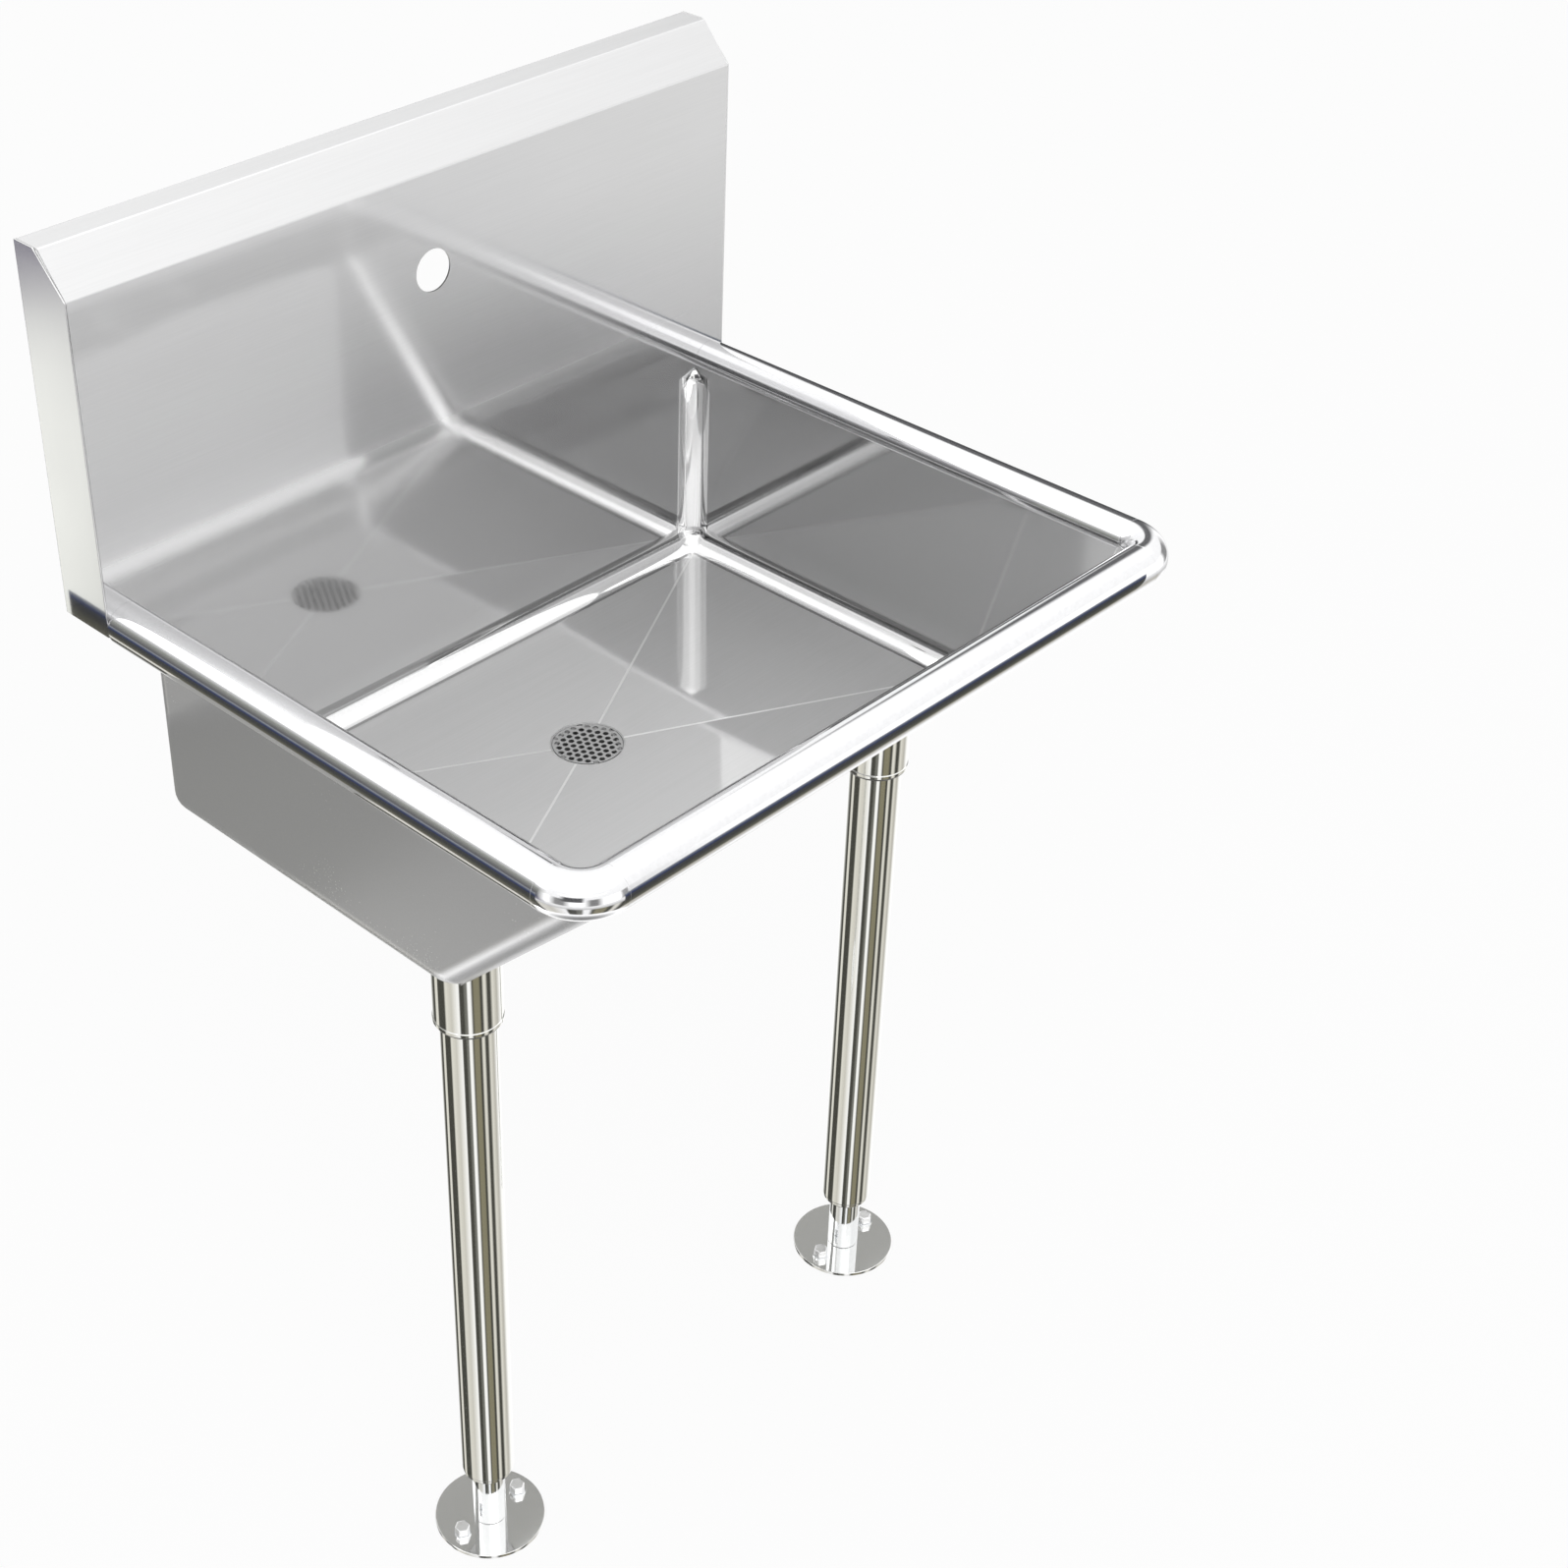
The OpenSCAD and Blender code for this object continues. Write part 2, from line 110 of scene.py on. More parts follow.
class Bench:
    """The modelling moves that all sub-assemblies share."""

    @staticmethod
    def clear() -> None:
        """Leaves edit mode and deselects everything."""
        if bpy.context.object and bpy.context.object.mode != "OBJECT":
            bpy.ops.object.mode_set(mode="OBJECT")
        bpy.ops.object.select_all(action="DESELECT")

    @staticmethod
    def hold(obj: Piece) -> None:
        """Makes one object the only selected and active one.

        Args:
            obj: the object.
        """
        Bench.clear()
        obj.select_set(True)
        bpy.context.view_layer.objects.active = obj

    @staticmethod
    def place(name: str, scale: Sequence[float] = (1, 1, 1),
              turn: Sequence[float] = (0, 0, 0)) -> Piece:
        """Names the new primitive and applies its size, turn and place to its mesh.

        Args:
            name: name of the object and its mesh.
            scale: size along each axis, in metres where the primitive is 1 m.
            turn: rotation in radians about X, Y and Z.

        Returns:
            The object, with its origin at the frame's origin.
        """
        obj = bpy.context.object
        obj.name = name
        obj.data.name = name
        obj.scale = scale
        obj.rotation_euler = turn
        Bench.hold(obj)
        bpy.ops.object.transform_apply(location=True, rotation=True, scale=True)
        return obj

    @staticmethod
    def block(name: str, low: Vector, high: Vector) -> Piece:
        """Adds a box between two corners of the frame.

        Args:
            name: name of the piece.
            low: lowest corner in metres.
            high: highest corner in metres.

        Returns:
            The box.
        """
        Bench.clear()
        bpy.ops.mesh.primitive_cube_add(size=1, location=(low + high) / 2)
        return Bench.place(name, high - low)

    @staticmethod
    @contextmanager
    def editing(obj: Piece) -> Iterator[None]:
        """Holds one object in edit mode.

        Args:
            obj: the object to edit.

        Yields:
            Nothing; edit mode ends after the block.
        """
        Bench.hold(obj)
        bpy.ops.object.mode_set(mode="EDIT")
        yield
        bpy.ops.object.mode_set(mode="OBJECT")

    @staticmethod
    def pick(obj: Piece, part: Part, test: Test, more: bool = False) -> None:
        """Selects parts of the edited mesh by their place.

        Args:
            obj: the object in edit mode.
            part: whether vertices, edges or faces are picked.
            test: gets two drawing points: a vertex twice, an edge's ends, or a face's middle and its normal.
            more: whether what was picked before stays so.
        """
        bpy.ops.mesh.select_mode(type=part.value)
        if not more:
            bpy.ops.mesh.select_all(action="DESELECT")
        shape = bmesh.from_edit_mesh(obj.data)
        if part is Part.VERT:
            found = [vert for vert in shape.verts if test(drawn(vert.co), drawn(vert.co))]
        elif part is Part.EDGE:
            found = [edge for edge in shape.edges if test(*(drawn(vert.co) for vert in edge.verts))]
        else:
            found = [face for face in shape.faces if test(drawn(face.calc_center_median()), face.normal.copy())]
        for element in found:
            element.select_set(True)
        shape.select_flush_mode()
        bmesh.update_edit_mesh(obj.data)

    @staticmethod
    def keep(obj: Piece, test: Test) -> None:
        """Leaves only those picked edges selected whose ends pass a test.

        Args:
            obj: the object in edit mode.
            test: gets the two ends as drawing points.
        """
        shape = bmesh.from_edit_mesh(obj.data)
        for edge in shape.edges:
            if edge.select and not test(*(drawn(vert.co) for vert in edge.verts)):
                edge.select_set(False)
        shape.select_flush_mode()
        bmesh.update_edit_mesh(obj.data)

    @staticmethod
    def pull(x: float, y: float, z: float) -> None:
        """Extrudes the selection by a step in drawing millimetres."""
        bpy.ops.mesh.extrude_region_move(TRANSFORM_OT_translate={"value": (x * MM, y * MM, z * MM)})

    @staticmethod
    def shift(x: float, y: float, z: float) -> None:
        """Moves the selection by a step in drawing millimetres."""
        bpy.ops.transform.translate(value=(x * MM, y * MM, z * MM))

    @staticmethod
    def whole() -> None:
        """Selects the whole edited mesh."""
        bpy.ops.mesh.select_all(action="SELECT")

    @staticmethod
    def cut(point: Vector, normal: Vector, drop: bool = False) -> None:
        """Cuts the whole edited mesh by a plane; drop removes what lies on its normal's side and fills the cut."""
        Bench.whole()
        bpy.ops.mesh.bisect(plane_co=point, plane_no=normal, clear_outer=drop, use_fill=drop)

    @staticmethod
    def round_picked(offset: float, segments: int) -> None:
        """Rounds the selected edges by an offset in millimetres, in so many segments."""
        bpy.ops.mesh.bevel(offset_type="OFFSET", offset=offset * MM, segments=segments, profile=0.5, affect="EDGES",
                           clamp_overlap=False)

    @staticmethod
    def use(obj: Piece, kind: str, **settings: object) -> None:
        """Adds a modifier to a piece and applies it.

        Args:
            obj: the piece.
            kind: the modifier's type.
            **settings: the modifier's values.
        """
        Bench.hold(obj)
        tool = obj.modifiers.new(kind.lower(), kind)
        for key, value in settings.items():
            setattr(tool, key, value)
        bpy.ops.object.modifier_apply(modifier=tool.name)

    @staticmethod
    def round_edges(obj: Piece, width: float, segments: int = 3, angle: float = 35.0) -> None:
        """Rounds every edge that turns by more than an angle in degrees, by a width in millimetres."""
        Bench.use(obj, "BEVEL", width=width * MM, segments=segments, limit_method="ANGLE",
                  angle_limit=math.radians(angle), harden_normals=False)

    @staticmethod
    def thicken(obj: Piece, sheet: float) -> None:
        """Gives an open surface its sheet's thickness in millimetres, behind its faces."""
        Bench.use(obj, "SOLIDIFY", thickness=sheet * MM, offset=-1.0, use_even_offset=True)

    @staticmethod
    def drill(obj: Piece, tool: Piece) -> None:
        """Cuts a tool's shape out of a piece and removes the tool."""
        Bench.use(obj, "BOOLEAN", operation="DIFFERENCE", object=tool, solver="EXACT")
        bpy.data.objects.remove(tool, do_unlink=True)

    @staticmethod
    def rod(name: str, centre: Vector, radius: float, length: float, turn: Sequence[float] = (0, 0, 0),
            sides: int = FACETS) -> Piece:
        """Adds a plain round or many-sided bar to shape or to cut with.

        Args:
            name: name of the bar.
            centre: middle of the bar in metres.
            radius: radius in millimetres, to the corners.
            length: length in millimetres.
            turn: rotation in radians.
            sides: number of sides.

        Returns:
            The bar.
        """
        Bench.clear()
        bpy.ops.mesh.primitive_cylinder_add(vertices=sides, radius=radius * MM, depth=length * MM, location=centre)
        return Bench.place(name, turn=turn)

    @staticmethod
    def turned(name: str, x: float, y: float, profile: Rings) -> Piece:
        """Shapes a round piece ring by ring, as on a lathe.

        Args:
            name: name of the piece.
            x: the upright axis's drawing x.
            y: the upright axis's drawing y.
            profile: radius and height of each ring in millimetres; a closed profile repeats its first ring.

        Returns:
            The piece, closed by flat ends where the profile is open.
        """
        radius, height = profile[0]
        closed = profile[0] == profile[-1]
        Bench.clear()
        bpy.ops.mesh.primitive_circle_add(vertices=FACETS, radius=radius * MM, location=spot(x, y, height),
                                          fill_type="NOTHING" if closed else "NGON")
        obj = Bench.place(name)
        with Bench.editing(obj):
            bpy.ops.mesh.select_mode(type="EDGE")
            Bench.whole()
            for next_radius, next_height in profile[1:]:
                Bench.pull(0, 0, next_height - height)
                share = next_radius / radius
                bpy.ops.transform.resize(value=(share, share, 1), center_override=spot(x, y, next_height))
                radius, height = next_radius, next_height
            Bench.whole()
            bpy.ops.mesh.remove_doubles(threshold=WELD * MM)
            bpy.ops.mesh.normals_make_consistent(inside=False)
        return obj

    @staticmethod
    def done(obj: Piece, finish: "Finish", body: str, nodes: Sequence[str], slot: str,
             smooth: float = 30.0) -> None:
        """Shades a finished piece, dresses it, rides it on its body and hides the CAD nodes that it replaces.

        Args:
            obj: the piece.
            finish: its material.
            body: the CAD body that it rides on.
            nodes: the CAD nodes that it replaces.
            slot: not used.
            smooth: edges that turn by less than this many degrees are shaded smooth.
        """
        Bench.hold(obj)
        bpy.ops.object.shade_smooth_by_angle(angle=math.radians(smooth))
        Bench.use(obj, "WEIGHTED_NORMAL", keep_sharp=True, weight=100)
        obj.data.materials.clear()
        obj.data.materials.append(finish.material())
        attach(obj, body)
        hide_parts(*nodes)
        LOG.info("%s: %d faces on %s", obj.name, len(obj.data.polygons), body)


class Wiring:
    """The nodes and links of one material or of the world."""

    def __init__(self, owner: Look | bpy.types.World) -> None:
        """Takes up the owner's node tree.

        Args:
            owner: the material or the world.
        """
        owner.use_nodes = True
        self.nodes = owner.node_tree.nodes
        self.links = owner.node_tree.links

    def add(self, kind: str, values: dict[str | int, object] | None = None, **settings: object) -> Node:
        """Adds a node.

        Args:
            kind: the node's type, without the ShaderNode that all begin with.
            values: number, colour or other node's output for each input, by the input's name or place.
            **settings: the node's own settings.

        Returns:
            The node.
        """
        node = self.nodes.new(f"ShaderNode{kind}")
        for key, setting in settings.items():
            setattr(node, key, setting)
        self.feed(node, values or {})
        return node

    def feed(self, node: Node, values: dict[str | int, object]) -> None:
        """Sets a node's inputs, or links them to other nodes.

        Args:
            node: the node.
            values: number, colour or other node's output for each input.
        """
        for key, value in values.items():
            if isinstance(value, Socket):
                self.links.new(value, node.inputs[key])
            else:
                node.inputs[key].default_value = value

    def noise(self, place: Socket, scale: float, detail: float) -> Socket:
        """Adds a noise pattern, read at a place, with its fineness and its number of octaves."""
        return self.add("TexNoise", {"Vector": place, "Scale": scale, "Detail": detail}).outputs["Fac"]

    def span(self, value: Socket, start: float, end: float, low: float = 0.0, high: float = 1.0,
             soft: bool = False) -> Socket:
        """Maps a value from one range, start to end, to another, low to high, and holds it at the ends."""
        return self.add("MapRange", {"Value": value, "From Min": start, "From Max": end, "To Min": low, "To Max": high},
                        interpolation_type="SMOOTHSTEP" if soft else "LINEAR").outputs["Result"]

    def rise(self, place: Socket, limits: tuple[float, float], low: float = 0.0, high: float = 1.0,
             soft: bool = False) -> Socket:
        """Maps the height on a piece to a range of values.

        Args:
            place: the object coordinates.
            limits: drawing heights that give the low and the high result.
            low: the result at the first height.
            high: the result at the second height.
            soft: whether the result leaves and reaches its ends softly.

        Returns:
            The result.
        """
        start, end = (spot(0, 0, height).z for height in limits)
        upward = self.add("SeparateXYZ", {"Vector": place}).outputs["Z"]
        return self.span(upward, start, end, low, high, soft)

    def ramp(self, value: Socket, stops: Sequence[tuple[float, Colour]]) -> Socket:
        """Colours a value by a ramp.

        Args:
            value: the value, from 0 to 1.
            stops: place and colour of each stop.

        Returns:
            The colour.
        """
        node = self.add("ValToRGB", {"Fac": value})
        marks = node.color_ramp.elements
        while len(marks) < len(stops):
            marks.new(0.5)
        for _ in range(2):
            for mark, (place, colour) in zip(marks, sorted(stops)):
                mark.position = min(1.0, max(0.0, place))
                mark.color = (*colour, 1)
        return node.outputs["Color"]

    def times(self, first: Socket, second: Socket | float) -> Socket:
        """Multiplies a value by another or by a number."""
        return self.add("Math", {0: first, 1: second}, operation="MULTIPLY").outputs["Value"]

    def blend(self, share: Socket | float, first: object, second: object,
              kind: str = "MIX") -> Socket:
        """Mixes the second colour into the first by a share, or in another way of mixing."""
        return self.add("Mix", {"Factor": share, "A": first, "B": second}, data_type="RGBA",
                        blend_type=kind).outputs["Result"]

    def show(self, surface: Socket) -> None:
        """Puts a shader on the surface."""
        self.links.new(surface, self.nodes["Material Output"].inputs["Surface"])


class Grain(Enum):
    """The direction in which a surface was brushed."""

    ACROSS = (0.012, 1.0, 1.0)
    UPRIGHT = (1.0, 1.0, 0.012)
    NONE = (1.0, 1.0, 1.0)


@dataclass(frozen=True)
class Finish:
    """A surface with its grain and smears: a sharp sheen and, over it, a share of soft haze."""

    GRAIN_DETAIL: ClassVar[float] = 6.0
    GRAIN_HEIGHT: ClassVar[float] = 0.0001
    SMEAR_SIZE: ClassVar[float] = 7.0
    SMEAR_DETAIL: ClassVar[float] = 3.0
    LEAST_ROUGHNESS: ClassVar[float] = 0.01
    HAZE_RISE: ClassVar[tuple[float, float]] = (740.0, 1000.0)
    # Painted shade by height: the heights over which the colour darkens in the bowl and lightens again towards the top.
    PAINTED_SHADE_RISE: ClassVar[tuple[float, float]] = (600.0, 960.0)
    # Painted light: the colour's factor at the top of that range.
    PAINTED_TOP_LIGHT: ClassVar[float] = 1.06

    name: str
    colour: Colour
    roughness: float
    haze: float = 0.0
    haze_roughness: float = 0.5
    grain: Grain = Grain.NONE
    grain_size: float = 900.0
    grain_depth: float = 0.0
    smear: float = 0.02
    metal: float = 1.0
    top_haze: float = -1.0
    # Painted shade: the colour's factor at middle heights, standing in for the shade down in the bowl; 1 paints none.
    shade: float = 1.0

    def material(self) -> Look:
        """Builds the finish's material once and hands it out again after that.

        Returns:
            The material.
        """
        ready = bpy.data.materials.get(self.name)
        if ready:
            return ready
        made = bpy.data.materials.new(self.name)
        tree = Wiring(made)
        place = tree.add("TexCoord").outputs["Object"]
        stretched = tree.add("Mapping", {"Vector": place, "Scale": self.grain.value}).outputs["Vector"]
        lines = tree.noise(stretched, self.grain_size, self.GRAIN_DETAIL)
        cloud = tree.noise(place, self.SMEAR_SIZE, self.SMEAR_DETAIL)
        colour = self.tint(tree, lines, place)
        sheen = tree.nodes["Principled BSDF"]
        self.surface(tree, sheen, lines, cloud, colour, self.roughness)
        if self.haze > 0:
            soft = tree.add("BsdfPrincipled")
            self.surface(tree, soft, lines, cloud, colour, self.haze_roughness)
            share = self.haze
            if self.top_haze >= 0:
                share = tree.rise(place, self.HAZE_RISE, self.haze, self.top_haze, soft=True)
            both = tree.add("MixShader", {"Fac": share, 1: sheen.outputs["BSDF"], 2: soft.outputs["BSDF"]})
            tree.show(both.outputs["Shader"])
        return made

    def surface(self, tree: Wiring, skin: Node, lines: Socket, cloud: Socket,
                colour: Socket, roughness: float) -> None:
        """Sets one shader up with the finish's colour, roughness and relief.

        Args:
            tree: the material's nodes.
            skin: the surface shader.
            lines: the grain.
            cloud: the smears.
            colour: the finish's colour.
            roughness: the shader's middle roughness.
        """
        mixed = tree.add("Mix", {"Factor": 0.5, "A": lines, "B": cloud}).outputs["Result"]
        least = max(self.LEAST_ROUGHNESS, roughness - self.smear)
        tree.feed(skin, {"Metallic": self.metal, "Base Color": colour,
                         "Roughness": tree.span(mixed, 0.3, 0.7, least, roughness + self.smear)})
        if self.grain_depth > 0:
            relief = tree.add("Bump", {"Strength": self.grain_depth, "Distance": self.GRAIN_HEIGHT, "Height": lines})
            tree.feed(skin, {"Normal": relief.outputs["Normal"]})

    def tint(self, tree: Wiring, lines: Socket, place: Socket) -> Socket:
        """Varies the colour a little with the grain and, where the finish has painted shade, paints shade and light by
        height: darker down in the bowl, a little lighter at the top.

        Args:
            tree: the material's nodes.
            lines: the grain.
            place: the object coordinates.

        Returns:
            The colour.
        """
        colour = tree.ramp(lines, ((0.35, tuple(c * 0.98 for c in self.colour)),
                                   (0.65, tuple(min(1.0, c * 1.015) for c in self.colour))))
        if self.shade == 1.0:
            return colour
        # Painted shade and light by height: no change at the floor, darker in the middle heights, lighter at the top.
        stops = ((0.025, 1.0), (0.12, self.shade), (0.45, self.shade), (1.0, self.PAINTED_TOP_LIGHT))
        painted_depth_tone = tree.ramp(tree.rise(place, self.PAINTED_SHADE_RISE), [(stop, grey(tone)) for stop, tone in stops])
        return tree.blend(1.0, colour, painted_depth_tone, "MULTIPLY")


# The sheet: painted shade by height, darker in the middle heights of the bowl.
SHEET = Finish("brushed sheet", (0.64, 0.64, 0.642), 0.07, 0.1, 0.45, Grain.ACROSS, 900.0, 0.014, 0.02,
               top_haze=0.82, shade=0.86)
# Painted shade: a darker copy of the sheet (0.46 against 0.64) on the side walls, standing in for their shade.
PAINTED_SHADE_SIDE_WALL = Finish("side wall with painted shade", (0.46, 0.46, 0.462), 0.07, 0.01, 0.45, Grain.ACROSS, 900.0, 0.014, 0.02,
                   shade=0.86)
# Painted light: a lighter copy of the sheet (0.69) on the flat floor, standing in for the light from above; its wider
# haze is roughness.
PAINTED_LIGHT_FLOOR = Finish("brushed floor with painted light", grey(0.69), 0.06, 0.42, 0.75, Grain.ACROSS, 900.0, 0.014, 0.02)
# Painted highlight: a much lighter copy of the sheet (0.84) on the coves, standing in for the light that they catch.
PAINTED_LIGHT_COVE = Finish("cove with painted light", grey(0.84), 0.05, 0.06, 0.5, Grain.NONE, 400.0, 0.02, 0.03)
# Painted reflection: a dark copy of the sheet (0.38) on the floor coves' edge facets, standing in for the dark of the
# bowl that they mirror.
PAINTED_DARK_COVE = Finish("cove edge with painted dark reflection", grey(0.38), 0.05, 0.06, 0.5, Grain.NONE, 400.0, 0.02, 0.03)
STRAINER = Finish("dull strainer", grey(0.52), 0.15, 0.5, 0.6, Grain.NONE, 900.0, 0.01, 0.02)
CUP = Finish("dull drain cup", grey(0.56), 0.2, 0.5, 0.5, Grain.NONE, 300.0, 0.0, 0.02)
# Painted highlight: a lighter copy of the sheet (0.77) on the floor's creases, standing in for the light along them.
PAINTED_LIGHT_CREASE = Finish("crease with painted highlight", grey(0.77), 0.15, 0.6, 0.75, Grain.NONE, 400.0, 0.0, 0.02)
CAP_SHEET = Finish("end cap sheet", grey(0.64), 0.14, 0.1, 0.4, Grain.UPRIGHT, 900.0, 0.03, 0.02)
OUTSIDE = Finish("dull outside of the bowl", (0.57, 0.57, 0.575), 0.26, 0.45, 0.42, Grain.NONE, 700.0, 0.0, 0.02)
ROLL = Finish("polished roll", (0.82, 0.82, 0.83), 0.05, 0.08, 0.4, Grain.NONE, 300.0, 0.0, 0.015)
TUBE = Finish("polished tube", (0.84, 0.84, 0.81), 0.04, 0.03, 0.4, Grain.UPRIGHT, 700.0, 0.01, 0.012)
PLATE = Finish("bright flange", (0.8, 0.8, 0.79), 0.06, 0.08, 0.4, Grain.NONE, 900.0, 0.01, 0.02)
PLATED = Finish("bright plating", (0.82, 0.83, 0.84), 0.06, 0.03, 0.4, Grain.NONE, 300.0, 0.0, 0.02)
BOLT = Finish("zinc bolt", grey(0.88), 0.1, 0.45, 0.5, Grain.NONE, 300.0, 0.0, 0.02)
# Painted shade: near-black steel on the drawn-in faces at the tubes' and sockets' ends, standing in for the dark line
# of shade there.
EDGE = Finish("painted shade edge", (0.14, 0.135, 0.13), 0.4, 0.0, 0.4, Grain.NONE, 500.0, 0.0, 0.05)
MILL = Finish("mill finish", grey(0.55), 0.32, 0.3, 0.5, Grain.ACROSS, 500.0, 0.05, 0.05)
RUBBER = Finish("rubber", grey(0.05), 0.7, 0.0, 0.7, Grain.NONE, 900.0, 0.1, 0.08, 0.0)


@dataclass
class Backsplash:
    """The boxed backsplash: a folded panel with a faucet hole between two end caps."""

    width: float = 609.6
    sheet: float = 1.5
    depth: float = 49.0
    low: float = 764.0
    slope_z: float = 1010.0
    slope_run: float = 25.3
    slope_rise: float = 29.0
    lip: float = 12.0
    bend: float = 1.0
    faucet_z: float = 937.0
    faucet_r: float = 16.0

    @property
    def top(self) -> float:
        """Height of the flat strip on top."""
        return self.slope_z + self.slope_rise

    def panel(self) -> None:
        """Folds the panel from its face up and over to the lip at the wall, and drills the faucet hole."""
        half = self.width / 2 - self.sheet
        Bench.clear()
        bpy.ops.mesh.primitive_plane_add(size=1, location=spot(0, 0, (self.low + self.slope_z) / 2))
        obj = Bench.place("backsplash_panel", (2 * half * MM, (self.slope_z - self.low) * MM, 1), (math.pi / 2, 0, 0))
        with Bench.editing(obj):
            Bench.pick(obj, Part.EDGE, lambda a, b: min(a.z, b.z) > self.slope_z - 1)
            Bench.pull(0, self.slope_run, self.slope_rise)
            Bench.pull(0, self.depth - self.slope_run, 0)
            Bench.pull(0, 0, -self.lip)
            Bench.pick(obj, Part.EDGE, lambda a, b: abs(a.x - b.x) > 1 and min(a.z, b.z) > self.slope_z - 1
                       and not (a.y > self.depth - 1 and a.z < self.top - 1))
            Bench.round_picked(self.bend, 4)
        Bench.thicken(obj, self.sheet)
        Bench.drill(obj, Bench.rod("faucet_drill", spot(0, 0, self.faucet_z), self.faucet_r, 20, (math.pi / 2, 0, 0)))
        with Bench.editing(obj):
            Bench.pick(obj, Part.EDGE, lambda a, b: all(
                abs(math.hypot(p.x, p.z - self.faucet_z) - self.faucet_r) < 0.2 and abs(p.y) < 0.2 for p in (a, b)))
            Bench.round_picked(0.3, 2)
        Bench.done(obj, SHEET, "sink", ["back_panel"], "sheet_steel")

    def cap(self, side: Side) -> None:
        """Cuts an end cap to the box's section and turns its lip in at the wall.

        Args:
            side: the cap's side.
        """
        outer = side.value * self.width / 2
        inner = outer - side.value * self.sheet
        obj = Bench.block(f"backsplash_cap_{side.word}", spot(min(outer, inner), 0, self.low),
                          spot(max(outer, inner), self.depth, self.top))
        with Bench.editing(obj):
            Bench.cut(spot(0, 0, self.slope_z), Vector((0, -self.slope_rise, self.slope_run)), True)
            Bench.cut(spot(0, self.depth - self.sheet, 0), Vector((0, 1, 0)))
            Bench.cut(spot(0, 0, self.top - self.lip - 0.1), Vector((0, 0, 1)))
            Bench.pick(obj, Part.FACE, lambda at, n: n.x * side.value < -0.9 and at.y > self.depth - self.sheet
                       and at.z < self.top - self.lip)
            Bench.pull(-side.value * (self.lip - self.sheet), 0, 0)
        Bench.round_edges(obj, 0.35)
        Bench.done(obj, CAP_SHEET, "sink", [f"end_cap_{side.word}"], "sheet_steel")

    def build(self) -> None:
        """Builds the panel and both caps."""
        self.panel()
        for side in Side:
            self.cap(side)


